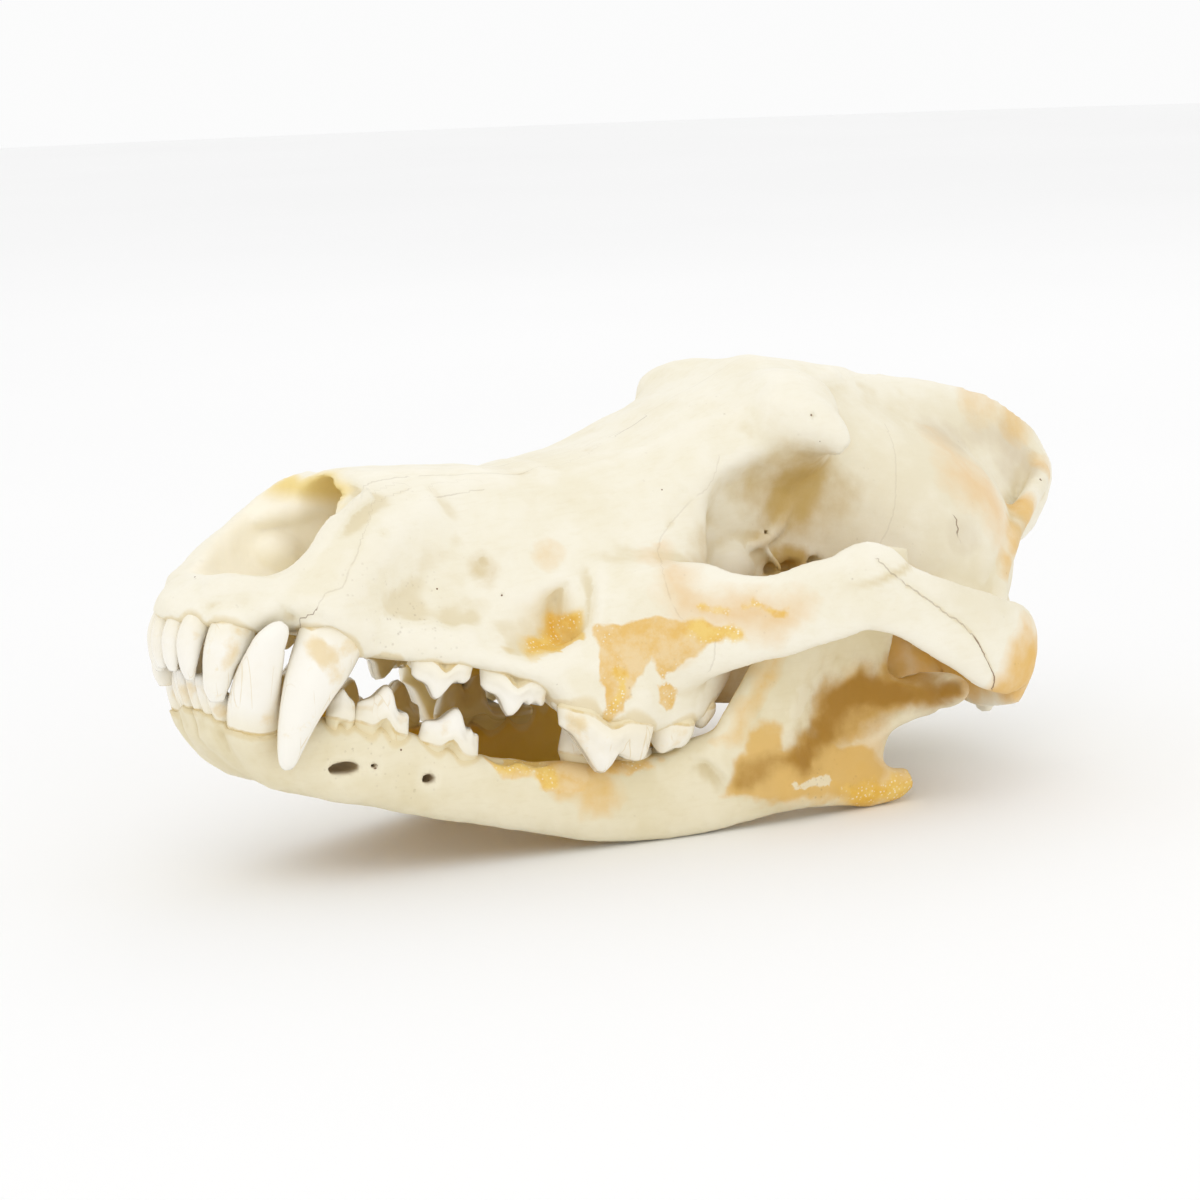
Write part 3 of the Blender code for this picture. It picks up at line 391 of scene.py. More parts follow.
def cranium_bone(field):
    """The cranium's distances, and those of its nose and mouth hollows and its teeth."""
    d = field.distance
    brow_horn = d(limb([(147, 22, 69, 5, 6), (153, 28.5, 68, 4.6, 5.2), (157.5, 32.5, 65.5, 3.4, 3.8),
                        (160, 35, 63, 1.6, 2)]))
    drum = d(ball((207, 20, 10), (14, 10, 10.5), (0, 0, -14)))
    neck_joint = d(ball((238, 12.5, 21), (8, 6.5, 9.5), (0, 0, -18)))
    neck_spur = d(limb([(218, 33, 26, 5, 6), (222, 31, 15, 5, 4.5), (225, 28, 6, 3.4, 2.6),
                        (226, 27, 1.5, 2, 1.4)],
                       ref=(1, 0, 0)))
    throat_plate = d(limb([(112, 15, 8, 4, 8), (125, 13.5, 7, 2.8, 10), (140, 12.5, 7, 2.6, 11.5),
                           (155, 12, 7.5, 2.6, 11), (166, 12, 7.5, 2.4, 9), (173, 12.5, 3, 1.8, 4)]))
    nose_rim = d(limb([(7, 7, 11.5, 2.6, 2.2), (11, 10.8, 13, 2.4, 2.6), (16, 13.6, 17, 2.2, 3),
                       (21.5, 14.8, 21.4, 2.2, 3.2), (27, 14.6, 26.2, 2.2, 3.4),
                       (31.5, 13.9, 30.8, 2.2, 3.4),
                       (36, 12.4, 35.4, 2.4, 3.2), (41, 10.5, 37.6, 2.6, 3)]))
    face, orbit = upper_jaw_and_brow(field)
    bone = join(face, braincase(field), 8)
    bone = join(bone, both(brow_horn), 6)
    bone = join(bone, both(cheek_arch(field)), 5)
    for part, fillet in ((drum, 3), (neck_joint, 2.5), (neck_spur, 3), (throat_plate, 3),
                         (nose_rim, 2.5)):
        bone = join(bone, both(part), fillet)
    nose_mouth = d(hull([(9, 60, 14, 5.6, 5.6), (14, 60, 13.5, 9.6, 9.6), (20, 60, 13, 12.4, 12.4),
                         (27, 60, 13.5, 12.8, 12.8), (32, 60, 13.5, 12, 12), (35, 60, 13.5, 11.5, 11.5)],
                        power=4))
    nose_canal = d(hull([(24, 37, 14.5, 13, 11), (33, 38.6, 14, 12, 9), (41, 39.8, 14.5, 9.5, 7.5),
                         (50, 40.4, 16, 7, 6), (58, 39, 19, 4, 4)]))
    palate = d(hull([(4, 2, -12, 8, 5), (14, 4, -14, 12, 9), (30, 5.5, -16, 15, 12),
                     (50, 6.5, -18, 17, 14),
                     (70, 6.5, -20, 20, 17), (88, 6, -22, 24, 21), (100, 5, -22, 25.5, 23),
                     (118, 4, -22, 25.5, 23), (132, 4, -22, 24, 21), (140, 4, -20, 22, 18)], power=3.2))
    throat = d(hull([(123, 12, -12, 9, 8), (140, 15, -12, 9.5, 9), (160, 16, -12, 9.5, 9),
                     (176, 13, -12, 9.5, 9), (184, 10, -8, 9, 8)], power=3))
    cheek_hole = d(limb([(68, 35.5, 10.5, 4.6, 4.2), (76, 32.0, 12.2, 5, 5.6), (84, 29.4, 14.2, 4.6, 6.5),
                         (91.3, 27.2, 16.0, 4.4, 6.8)]))
    fang_notch = d(limb([(15.2, 19.5, 0, 4.4, 4.6), (18.2, 20.4, 4, 4.4, 4.2), (21.3, 21.1, 9, 3, 2.8)],
                        ref=(1, 0, 0)))
    worn_rim = d(hull([(9, 60, 16.2, 11, 11), (17, 60, 16.3, 11, 11), (21.6, 60, 17.9, 11, 11),
                       (24.6, 60, 20.9, 11, 11),
                       (27, 60, 23.8, 11, 11), (30.9, 60, 30.5, 11, 11), (34, 60, 34.2, 11, 11),
                       (38.6, 60, 38.4, 11, 11)],
                      power=8, offset=[(9, -17), (38.6, -17)]))
    neck_hole = d(limb([(262, 0, 27, 10, 9), (244, 0, 27.5, 9.5, 8.5), (226, 0, 29, 8, 8)],
                       facing=(-1, 0, 0)))
    nose_corner = d(limb([(31, -11.4, 34, 4.0, 3.2), (36, -10.2, 37.4, 3.6, 2.8),
                          (41, -9.2, 39.7, 2.8, 2.3)]))
    eye_rim = d(ball((134, 42, 44), (20, 14.7, 17.3)))
    jaw_socket = d(limb([(196, 33, 6.5, 9, 7), (196, 47, 6.5, 9, 7), (196, 64, 6, 9, 7)]))
    cheek_dish = d(ball((75, 37.2, 13), (17, 8, 9), (0, 8, 22)))
    below_eye = both(join(cheek_dish, cheek_hole, 8))
    hollows = ((nose_mouth, 1.5), (nose_canal, 2), (palate, 4), (throat, 2), (below_eye, 2), (neck_hole, 2),
               (both(jaw_socket), 2.5), (both(fang_notch), 2), (worn_rim, 2), (nose_corner, 1.2),
               (both(eye_rim), 1.0))
    for part, edge in hollows:
        bone = cut(bone, part, edge)
    bone = join(bone, nose_scrolls(field), 1.5)
    bone = underside_detail(field, orbit_detail(field, bone))
    bone, crowns = held_teeth(field, bone, upper_teeth(), both)
    nose, mouth = np.minimum(nose_mouth, nose_canal), np.minimum(palate, throat)
    return bone, {"nose": nose, "mouth": mouth, "teeth": crowns, "orbit": orbit}


def held_teeth(field, bone, teeth, each_side=lambda values: values):
    """Raises the bone in a thin sleeve round the roots of the front teeth, up to their gum lines."""
    crowns = []
    for tooth, (body, _) in teeth:
        near = field.distance(body)
        if tooth in GUM_LINES:
            above = field.height_over(*GUM_LINES[tooth])
            bone = join(bone, each_side(np.maximum(near - 0.6, above + 0.1)), 2.2)
            near = np.maximum(near, -above - 0.8)
        crowns.append(near)
    return bone, each_side(np.minimum.reduce(crowns))


def lost_tooth(field, bone):
    """The left half has lost its fourth premolar: two shallow sockets stay open in the rim."""
    for centre, radii in (((79.2, 25.6, -19.2), (3.6, 1.9, 2.6)), ((87.4, 27.2, -19.4), (3.4, 1.9, 2.4))):
        bone = cut(bone, field.distance(ball(centre, radii, (0, 0, 13))), 1.4)
    return bone


def mandible_bone(field):
    """The right half of the lower jaw, cut off just short of the midline."""
    d = field.distance
    beam = d(limb([
        (15, 3.6, -18.8, 2.5, 2.8), (19.5, 5.8, -20.4, 4.0, 4.2), (25, 8.4, -22.2, 5.8, 5.8),
        (33, 12.2, -23.2, 6.6, 8.4), (45, 16.4, -23.2, 5.8, 9.7), (60, 20.2, -25.2, 5.3, 9),
        (75, 23.6, -27, 5.2, 8.1),
        (90, 27.2, -27.4, 5.5, 8.6), (105, 30.6, -27.0, 5.6, 9.6), (120, 34.0, -24.6, 5.3, 10.3),
        (133, 37.6, -19.8, 4.8, 11.6), (146, 41, -15.4, 4.2, 11.2), (158, 43, -12.4, 3.6, 9.6)],
                  power=2.5))
    chin = d(limb([(15, 1.5, -18.4, 3.6, 2.4), (20, 2.2, -21.6, 5, 3.5), (26, 3, -24.8, 6, 4.2),
                   (33, 3.6, -26.8, 6, 4.4), (42, 5, -27.4, 5, 3.4)], power=2.6, facing=(1, 0, 0)))
    wing = d(limb([
        (158, 43.2, -21, 2.6, 18), (157.5, 43, -15, 3.4, 21.5), (158.5, 43, -8, 3.8, 21),
        (160, 42.8, 0, 3.6, 19.5),
        (160.5, 42.5, 10, 3.2, 16.8), (163.5, 42, 20, 2.8, 14.3), (168, 41.3, 30, 2.4, 11.2),
        (172.5, 41, 37, 2.0, 7.8), (175.5, 41, 41, 1.2, 4)], ref=(1, 0, 0), facing=(0, 0, 1), power=2.8))
    front_edge = d(limb([(129.5, 40.8, -16, 3.2, 5), (134, 41.2, -7.5, 3.1, 5), (138, 41.2, 0.5, 3.1, 5),
                         (143, 41.2, 10, 3.1, 4.6), (149, 41.2, 20, 3, 4.2), (156, 41.2, 29, 2.6, 3.6),
                         (163.5, 41.2, 36.5, 2.0, 3)], ref=(1, 0, 0)))
    neck = d(limb([(164, 43.5, 0, 3.8, 9), (174, 44.8, 2, 4.2, 7), (180, 46, 4, 4.8, 5.6),
                   (187, 48, 6.4, 5, 4.8)]))
    hinge = d(limb([(190.5, 35.5, 5.4, 4, 3.4), (190, 42, 6.4, 5.2, 4.4), (189.2, 50, 7.8, 5.2, 4.4),
                    (188, 56.5, 9.0, 4.0, 3.4), (187.6, 59.5, 9.6, 2.2, 2.2)], power=2.0))
    corner = d(limb([(150, 43.2, -16.5, 3.6, 6.5), (165, 44, -16.8, 3.6, 5.6), (176, 45, -17.4, 3.4, 4.9),
                     (182.5, 46, -16.6, 2.9, 4), (186.3, 46.5, -14.6, 2, 2.6)]))
    bone = join(beam, chin, 7)
    bone = join(bone, wing, 5)
    bone = join(bone, front_edge, 4)
    bone = join(bone, neck, 4)
    bone = join(bone, hinge, 3)
    bone = join(bone, corner, 4)
    muscle_hollow = d(ball((161.5, 52.5, 3), (18.8, 9.6, 22.4), (0, 14, 0)))
    bone = cut(bone, muscle_hollow, 1.0)
    pits = np.full(bone.shape, BAND, np.float32)
    for centre, radii in (((40.2, 20.0, -24.4), (3.6, 5.0, 1.35)), ((60.3, 24.0, -25.0), (1.5, 5.0, 1.05)),
                          ((46.9, 21.0, -23.2), (0.8, 3.0, 0.65))):
        pits = np.minimum(pits, d(ball(centre, radii, (0, -12, 0))))
    bone, crowns = held_teeth(field, cut(bone, pits, 0.7), lower_teeth())
    return np.maximum(bone, HALF_GAP - field.y() + 0 * bone), {"teeth": crowns, "pits": pits}


# Teeth
ROUND_CROWN = 56
UP_CROWN = 16
BELOW_GUM = 8
# The gum line of each front tooth: x, z, slope and bow, and whether the tooth points up, 1, or down, -1
GUM_LINES = {
    "I1": ((3, 5.2, 0.1, 0.5), -1), "I2": ((6, 4.6, -0.5, 0.8), -1), "I3": ((11.5, 4.2, -0.1, 1.2), -1),
    "C": ((33, 4.4, -0.30, 3.4), -1), "i1": ((11, -15.2, 0.1, 0.4), 1), "i2": ((12, -15.6, 0.1, 0.6), 1),
    "i3": ((15, -16.2, 0.1, 1.0), 1), "c": ((20, -16.6, 0.15, 1.8), 1)}


def place(length, width, height, base, yaw, slope, lean, up):
    """Sets a crown's local lengths at its base: yaw turns it in plan, slope tips its gum line, and lean moves
    it over with its height."""
    turn = math.radians(yaw)
    x = base[0] + length * math.cos(turn) - width * math.sin(turn) + lean[0] * height
    y = base[1] + length * math.sin(turn) + width * math.cos(turn) + lean[1] * height
    z = base[2] + up * height + slope * length
    grid = np.stack([x, y, z], -1)
    return closed(grid if up > 0 else grid[:, ::-1])


def rings():
    """u round the crown, v from the gum to the tip, and how far each ring lies below the gum, 0 to 1."""
    u = np.linspace(0, 2 * np.pi, ROUND_CROWN, endpoint=False)
    v = np.concatenate([-np.linspace(1, 0, BELOW_GUM, endpoint=False), np.linspace(0, 1, UP_CROWN) ** 0.8])
    u, v = np.meshgrid(u, v)
    return u, np.clip(v, 0, 1), np.clip(-v, 0, 1)


def above_gum(height, up):
    """The height above the gum at each point that closed() makes of the grid."""
    height = height if up > 0 else height[:, ::-1]
    return np.concatenate([height.ravel(), height[:1].mean(1), height[-1:].mean(1)])


def blade(base, size, yaw, slope, lean, tops, up=1, root=5.0, full=2.8, notch=1.6):
    """A cutting crown on two roots: x = a cos u, y = b sin u (1-v^m)^(1/m) (1 + bulge sin(pi v)), and z = v
    times the height of the cusps at x. The gum line arches by notch between the roots, and a waist parts the
    roots below it."""
    u, v, down = rings()
    along = power_of(np.cos(u), 0.9) * (1 - 0.06 * v)
    height = eased(tops, along.ravel())[:, 0].reshape(along.shape)
    waist = 1 - 0.95 * np.exp(-((along / 0.24) ** 2)) * np.clip(down * 5, 0, 1)
    bulge = 1 + 0.2 * np.sin(np.pi * np.clip(v * 1.6, 0, 1))
    width = np.sin(u) * np.clip(1 - v**full, 0, 1) ** (1 / full) * bulge * waist * (1 - 0.35 * down)
    length = along * (1 - 0.22 * down)
    arch = notch * np.exp(-((along / 0.26) ** 2)) * np.clip(1 - 2 * v, 0, 1) * np.clip(1 - 2 * down, 0, 1)
    rise = height * v - root * down
    body = place(length * size[0] / 2, width * size[1] / 2, rise + arch, base, yaw, slope, lean, up)
    return body, above_gum(rise, up)


def table(base, size, yaw, slope, lean, cusps, floor, up=1, root=4.0):
    """A grinding crown: an oval dome, floor high, with a rounded cusp at each s, t of the oval."""
    u, v, down = rings()
    r = np.cos(v * np.pi / 2) ** 0.55 * (1 - 0.3 * down)
    r[v >= 1] = 0
    s = power_of(np.cos(u), 0.85) * r
    t = power_of(np.sin(u), 0.85) * r
    height = floor + 0 * s
    for at_s, at_t, tall, wide in cusps:
        height = height + tall * np.exp(-((s - at_s) ** 2 + (t - at_t) ** 2) / wide**2)
    height = height * np.clip(1 - r**6, 0, 1) ** (1 / 2.6) * (v > 0)
    rise = height - root * down
    return place(s * size[0] / 2, t * size[1] / 2, rise, base, yaw, slope, lean, up), above_gum(rise, up)


def peg(rows, gum, up=1):
    """An incisor or canine, carried from its root to its tip: x, y, z, half width across, half depth.
    gum is its gum line, as over_gum reads it."""
    points, tris, quads = limb(rows, ref=(1, 0, 0), power=2.1, step=0.6, around=44)
    return (points, tris, quads), over_gum(points[:, 0], points[:, 2], gum, up)


def upper_teeth():
    """Name and body of each upper tooth of one side, front to back."""
    return [
        ("I1", peg([(9, 2.4, 9, 1.4, 2.0), (5.0, 2.5, 6.8, 2.0, 2.5), (3.0, 2.5, 3.5, 2.3, 2.6),
                    (2.2, 2.5, -0.5, 2.35, 2.4), (2.5, 2.5, -4.2, 2.15, 1.7),
                    (3.4, 2.5, -7.2, 1.4, 0.8)], *GUM_LINES["I1"])),
        ("I2", peg([(12, 5.8, 9.5, 1.5, 2.2), (7.6, 6.3, 7.2, 2.1, 2.9), (5.2, 6.7, 4, 2.55, 3.2),
                    (4.1, 6.9, -0.5, 2.65, 2.9), (4.4, 7.0, -4.8, 2.4, 2.0),
                    (5.5, 7.0, -8.4, 1.5, 0.9)], *GUM_LINES["I2"])),
        ("I3", peg([(18, 10, 11, 1.9, 3.0), (14.6, 10.9, 7.8, 2.7, 4.0), (11.9, 11.8, 4, 3.3, 5.4),
                    (10.2, 12.2, -0.5, 3.35, 5.0), (9.4, 12.2, -4.8, 2.9, 3.9),
                    (9.5, 12.0, -8.8, 2.4, 3.1), (10.2, 11.8, -12.2, 1.5, 1.7)], *GUM_LINES["I3"])),
        ("C", peg([(40.5, 15.8, 19, 2.4, 3.6), (37.2, 17.4, 12.5, 4.0, 6.2), (33.4, 19.2, 6, 4.9, 8.0),
                   (30.6, 20.5, 0, 5.0, 7.6), (27.8, 21.2, -6.5, 4.5, 6.3), (25.9, 21.6, -13, 3.6, 4.8),
                   (25.0, 21.7, -18, 2.8, 3.7), (24.7, 21.6, -22, 2.1, 2.7), (24.8, 21.5, -24.3, 1.5, 1.9),
                   (25.0, 21.5, -25.3, 0.8, 1.0)], *GUM_LINES["C"])),
        ("P1", blade((46.5, 22.0, 2.6), (7.0, 4.6), 12, 0, (0, 0.04),
                     [(-1, 1.6), (-0.2, 5.6), (0.3, 4.4), (1, 1.6)], up=-1)),
        ("P2", blade((59.9, 24.5, 2.5), (15.4, 5.8), 11, 0.03, (0, 0.1),
                     [(-1, 3.5), (-0.8, 4.9), (-0.5, 5.9), (-0.16, 9.3), (0.0, 8.5), (0.34, 5.3), (0.5, 4.8),
                      (0.7, 5.2), (1, 3.5)], up=-1, notch=2.6)),
        ("P3", blade((78, 27.8, 0.6), (17.2, 6.4), 14, -0.1, (0, 0.1),
                     [(-1, 3.4), (-0.8, 5.0), (-0.5, 5.6), (-0.1, 9.8), (0.06, 9.0), (0.3, 5.7), (0.36, 5.5),
                      (0.46, 6.3), (0.6, 5.2), (0.7, 5.2), (0.86, 5.7), (1, 3.6)], up=-1, notch=2.6)),
        ("P4", blade((99.3, 36.4, -6.2), (24.6, 9.2), 14, -0.07, (0, 0.1),
                     [(-1, 3.4), (-0.88, 4.6), (-0.74, 5.4), (-0.4, 9.6), (-0.06, 13.6), (0.06, 13.0),
                      (0.22, 9.0), (0.28, 8.2), (0.36, 8.6), (0.62, 9.4), (0.8, 8.8), (0.93, 6.2), (1, 3.4)],
                     up=-1, root=6, full=3, notch=2.4)),
        ("P4_inner",
         table((91.5, 30.6, -3.6), (7.5, 7), 10, 0, (0, 0), [(0, 0, 2, 0.6)], 2.2, up=-1, root=3)),
        ("M1", table((119.3, 32.6, -6.4), (13.4, 16.8), 8, 0.02, (0, 0.03),
                     [(-0.42, 0.66, 4.8, 0.5), (0.42, 0.62, 2.8, 0.45), (0.05, -0.28, 1.4, 0.45)], 3.0,
                     up=-1,
                     root=5)),
        ("M2", table((129.4, 31.4, -3.0), (7.6, 11.4), 8, 0.42, (0.25, 0.03),
                     [(-0.2, 0.6, 2.0, 0.55), (0.1, -0.3, 0.8, 0.5)], 2.4, up=-1)),
    ]


def lower_teeth():
    """Name and body of each lower tooth of one side, front to back."""
    return [
        ("i1",
         peg([(18, 2.2, -22.4, 1.1, 1.6), (14.4, 2.2, -17.8, 1.6, 2.2), (11.6, 2.2, -13.6, 1.8, 2.1),
                    (8.9, 2.2, -9.5, 1.8, 1.4), (7.7, 2.2, -7.2, 1.2, 0.7)], *GUM_LINES["i1"])),
        ("i2",
         peg([(19.5, 4.7, -22.8, 1.3, 1.9), (15.8, 4.9, -18, 1.7, 2.5), (12.8, 5.1, -13.8, 2.0, 2.4),
                    (9.9, 5.1, -9.5, 1.9, 1.6), (8.5, 5.1, -7.4, 1.3, 0.8)], *GUM_LINES["i2"])),
        ("i3",
         peg([(22, 7.0, -23.6, 1.5, 2.3), (18.0, 7.4, -18.6, 2.1, 3.2), (14.9, 7.8, -14.6, 2.4, 3.1),
                    (11.8, 8.1, -10.8, 2.2, 2.2), (10.3, 8.2, -8.3, 1.4, 1.0)], *GUM_LINES["i3"])),
        ("c",
         peg([(31, 11.0, -27.5, 2.8, 4.0), (25.4, 11.8, -22.8, 4.0, 5.8), (20.8, 12.9, -17.2, 4.6, 6.8),
                   (18.0, 14.9, -11, 4.3, 6.2), (17.1, 17.0, -4.5, 3.7, 5.3), (17.2, 18.8, 1.2, 2.8, 4.2),
                   (18.2, 19.7, 4.2, 2.3, 3.3), (19.2, 20.2, 6.1, 1.7, 2.2), (19.7, 20.4, 7.0, 0.8, 1.1)],
             *GUM_LINES["c"])),
        ("p1", blade((39.2, 17.6, -13.6), (6.9, 4.8), 10, -0.06, (0, 0.02),
                     [(-1, 3.0), (-0.2, 7.0), (0.35, 5.4), (0.7, 4.6), (1, 2.8)], notch=0)),
        ("p2", blade((48.8, 20.0, -14.7), (13.6, 5.6), 13, -0.18, (0, 0.02),
                     [(-1, 3.6), (-0.84, 4.8), (-0.5, 6.4), (-0.02, 10.0), (0.16, 9.4), (0.36, 6.2),
                      (0.5, 5.0), (0.66, 4.7), (0.84, 5.0), (1, 3.4)], notch=2.5)),
        ("p3", blade((65.6, 23.2, -18.1), (15.2, 5.9), 13, -0.16, (0, 0.02),
                     [(-1, 3.6), (-0.86, 5.0), (-0.5, 6.0), (0.1, 10.0), (0.24, 9.0), (0.4, 6.4), (0.5, 5.5),
                      (0.62, 6.2), (0.76, 5.0), (0.88, 5.2), (1, 3.6)], notch=2.5)),
        ("p4", blade((82.4, 26.0, -18.4), (15.8, 6.4), 13, -0.06, (0, 0),
                     [(-1, 2.4), (-0.7, 4.4), (-0.1, 10.2), (0.2, 8), (0.4, 5.8), (0.86, 4.6),
                      (1, 2.6)])),
        ("m1", blade((106.4, 29.2, -16.6), (24.6, 8.6), 13, -0.01, (0, -0.12),
                     [(-1, 5.2), (-0.86, 8.4), (-0.7, 10.2), (-0.5, 7.6), (-0.22, 13.0), (-0.06, 10.6),
                      (0.1, 6.2), (0.3, 4.2), (0.8, 3.8), (1, 2.6)], full=3, root=6)),
        ("m2", table((122.6, 33.0, -15.3), (10.2, 7.4), 14, 0.12, (0, -0.06),
                     [(-0.35, 0.4, 1.2, 0.4), (-0.35, -0.4, 1, 0.4)], 2.4)),
        ("m3",
         table((130.4, 35.2, -12.6), (4.8, 4.8), 14, 0.3, (0, -0.05), [(0, 0, 0.6, 0.5)], 2.0)),
    ]


def flipped(body):
    """The mirror image of a body across the midline."""
    points, tris, quads = body
    return points * (1, -1, 1), tris[:, ::-1], quads[:, ::-1]


# Relief worked into the skin of a bone
def outward(points, quads):
    """Each point's outward direction: the crossed diagonals of the quads round it, added up."""
    across = np.cross(points[quads[:, 2]] - points[quads[:, 0]], points[quads[:, 3]] - points[quads[:, 1]])
    total = [np.bincount(quads.ravel(), np.repeat(across[:, axis], 4), len(points)) for axis in range(3)]
    total = np.stack(total, 1)
    return total / np.maximum(np.linalg.norm(total, axis=1), 1e-12)[:, None]


def evened(points, quads, rounds):
    """Moves each point to the mean of its neighbours, rounds times over."""
    here = quads.ravel()
    there = np.roll(quads, 1, 1).ravel()
    count = np.bincount(here, minlength=len(points)) + np.bincount(there, minlength=len(points))
    for _ in range(rounds):
        moved = np.empty_like(points)
        for axis in range(3):
            total = np.bincount(here, points[there, axis], len(points))
            moved[:, axis] = (total + np.bincount(there, points[here, axis], len(points))) / count
        points = moved
    return points


def rumple(points, size, seed, waves=14):
    """Soft lumps of about the given size, from -1 to 1: a sum of plane waves in random directions."""
    rng = np.random.default_rng(seed)
    ahead = rng.normal(size=(waves, 3))
    ahead *= (2 * np.pi / size * rng.uniform(0.6, 1.5, waves) / np.linalg.norm(ahead, axis=1))[:, None]
    phase = rng.uniform(0, 2 * np.pi, waves)
    return np.sin(points @ ahead.T + phase).sum(1) / math.sqrt(2 * waves)


def traced(places, step=1.5):
    """A smooth line through the places, as points about one step apart."""
    k = np.asarray(places, float)
    along = np.concatenate([[0], np.cumsum(np.linalg.norm(np.diff(k, axis=0), axis=1))])
    return eased(np.column_stack([along, k]), np.linspace(0, along[-1], max(3, int(along[-1] / step) + 1)))


def beside(points, skyward, line, reach):
    """How far each point lies from the line, less than nought on its left, and how far past its ends."""
    off = np.full(len(points), 99.0)
    past = np.full(len(points), 99.0)
    near = ((points > line.min(0) - reach) & (points < line.max(0) + reach)).all(1).nonzero()[0]
    here, up = points[near], skyward[near]
    best, signed, beyond = (np.full(len(near), 99.0) for _ in range(3))
    last = len(line) - 2
    for i, (a, b) in enumerate(zip(line[:-1], line[1:])):
        ab = b - a
        share = (here - a) @ ab / (ab @ ab)
        gap = here - (a + np.clip(share, 0, 1)[:, None] * ab)
        far = np.linalg.norm(gap, axis=1)
        side = np.where((gap * np.cross(ab, up)).sum(1) < 0, -1.0, 1.0)
        over = np.maximum(np.where(i == 0, -share, 0), np.where(i == last, share - 1, 0))
        closer = far < best
        best = np.where(closer, far, best)
        signed = np.where(closer, far * side, signed)
        beyond = np.where(closer, np.clip(over, 0, None) * np.linalg.norm(ab), beyond)
    off[near], past[near] = signed, beyond
    return off, past


def bell(distance, width):
    """e to minus the square of distance over width: 1 in the middle, soft at the sides."""
    return np.exp(-((distance / width) ** 2))


def eased_step(low, high, value):
    """Rises from 0 at low to 1 at high as 3 t^2 - 2 t^3; it falls where high is the lesser."""
    t = np.clip((value - low) / (high - low), 0, 1)
    return t * t * (3 - 2 * t)


def mirrored(rows):
    """The same places on the other side of the midline."""
    return [(row[0], -row[1], *row[2:]) for row in rows]


def both_ways(rows):
    """The rows and the same ones mirrored."""
    return rows + mirrored(rows)


def on_both_sides(lines):
    """Lines and their strengths, and the same ones mirrored."""
    return list(lines) + [(mirrored(line), force) for line, force in lines]


# Seams where bones meet, each a line over the left side
JUGAL_SEAM = [(149.5, -66, 38.5), (153.8, -67.6, 35.2), (159.8, -68.6, 32.3), (165.5, -69.8, 29.8),
              (168.4, -70.4, 28.2), (173.2, -70.9, 26.3), (178.4, -71.2, 23.1), (183.2, -71.2, 18.6),
              (187.2, -70.3, 14.4), (189.3, -68.3, 10.6)]
NASAL_SEAM = [(41, -10.5, 39.5), (45.2, -8.9, 40.5), (52.3, -8.1, 42.1), (65.7, -8.3, 44.2),
              (80.5, -8.6, 45.8), (94, -8.6, 47.2), (106, -6, 51), (112, -3, 54)]
SNOUT_SEAM = [(24.9, -18.3, 7.1), (24.5, -19.8, 8.8), (25.6, -21.3, 9.8), (26.0, -23.1, 11.4),
              (26.9, -22.9, 13.3), (27.6, -22.7, 14.6), (31.0, -23.9, 16.4), (32.9, -22.8, 20.5),
              (35.1, -21.7, 23.8), (38.5, -18, 31), (44, -14, 37), (53, -11.5, 40)]
TEAR_SEAM = [(130.7, -25.0, 56.7), (126.9, -26.5, 49.3), (121.9, -27.9, 45.8), (115.5, -29.1, 39.3),
             (112.6, -30.0, 35.5), (110.7, -34.1, 30.6), (108.4, -39.7, 26.4), (109.4, -42.2, 21.8),
             (111.3, -43.6, 18.7)]
CHEEK_SEAM = [(119.0, -48.0, 14.2), (119.7, -47.6, 10.7), (120.2, -46.2, 7.4)]
TEMPLE_SEAM = [(190, -14, 70), (188.0, -22.0, 63.2), (186.4, -25.6, 57.0), (185.7, -27.1, 52.1),
               (184.7, -27.9, 47.0), (182.6, -27.7, 41.1), (176, -25, 36)]
CROWN_SEAM = [(112, -0.3, 54), (124, 0.4, 62), (136, -0.3, 70), (147, 0.3, 77), (158, 0, 81)]
SNOUT_TOP_SEAM = [(41, 0.2, 42), (60, -0.2, 44.5), (80, 0.2, 46.5), (100, -0.2, 49.5), (112, -0.3, 54)]
FINE_CRACK = [(202.6, -31.0, 49.9), (203.6, -31.2, 49.2), (202.9, -31.4, 47.9), (204.2, -31.7, 47.3),
              (203.3, -31.9, 45.7), (204.4, -32.1, 44.1)]
BROW_CRACK = [(116, -2.6, 57.6), (118.7, -1.7, 59.9), (121.9, -1.5, 61.9), (124.9, -1.4, 64.0)]
SNOUT_CRACK = [(59.5, -13.6, 38.7), (66.3, -13.4, 40.1), (71.5, -13.7, 41.3)]


# Stains and painted shade, seen from the side
def gap_to(x, z, start, end):
    """The distance from each place x, z to the stretch between two corners: the nearest point of it is at the
    place's own share of the way along, kept between 0 and 1."""
    (ax, az), (bx, bz) = start, end
    share = np.clip(((x - ax) * (bx - ax) + (z - az) * (bz - az)) / ((bx - ax) ** 2 + (bz - az) ** 2), 0, 1)
    return np.hypot(x - ax - share * (bx - ax), z - az - share * (bz - az))


def inside_outline(points, corners, reach):
    """How far each point lies inside the outline seen from the side, in mm; less than nought outside it."""
    far = np.full(len(points), 99.0)
    inside = np.zeros(len(points), bool)
    x, z, y = points[:, 0], points[:, 2], np.abs(points[:, 1])
    ends = np.roll(np.asarray(corners, float), -1, axis=0)
    for (ax, az), (bx, bz) in zip(corners, ends):
        far = np.minimum(far, gap_to(x, z, (ax, az), (bx, bz)))
        crossed = (az > z) != (bz > z)
        inside ^= crossed & (x < ax + (z - az) * (bx - ax) / np.where(bz == az, 1, bz - az))
    depth = np.where(inside, far, -far)
    return np.where((y > reach[0]) & (y < reach[1]), depth, -99.0)


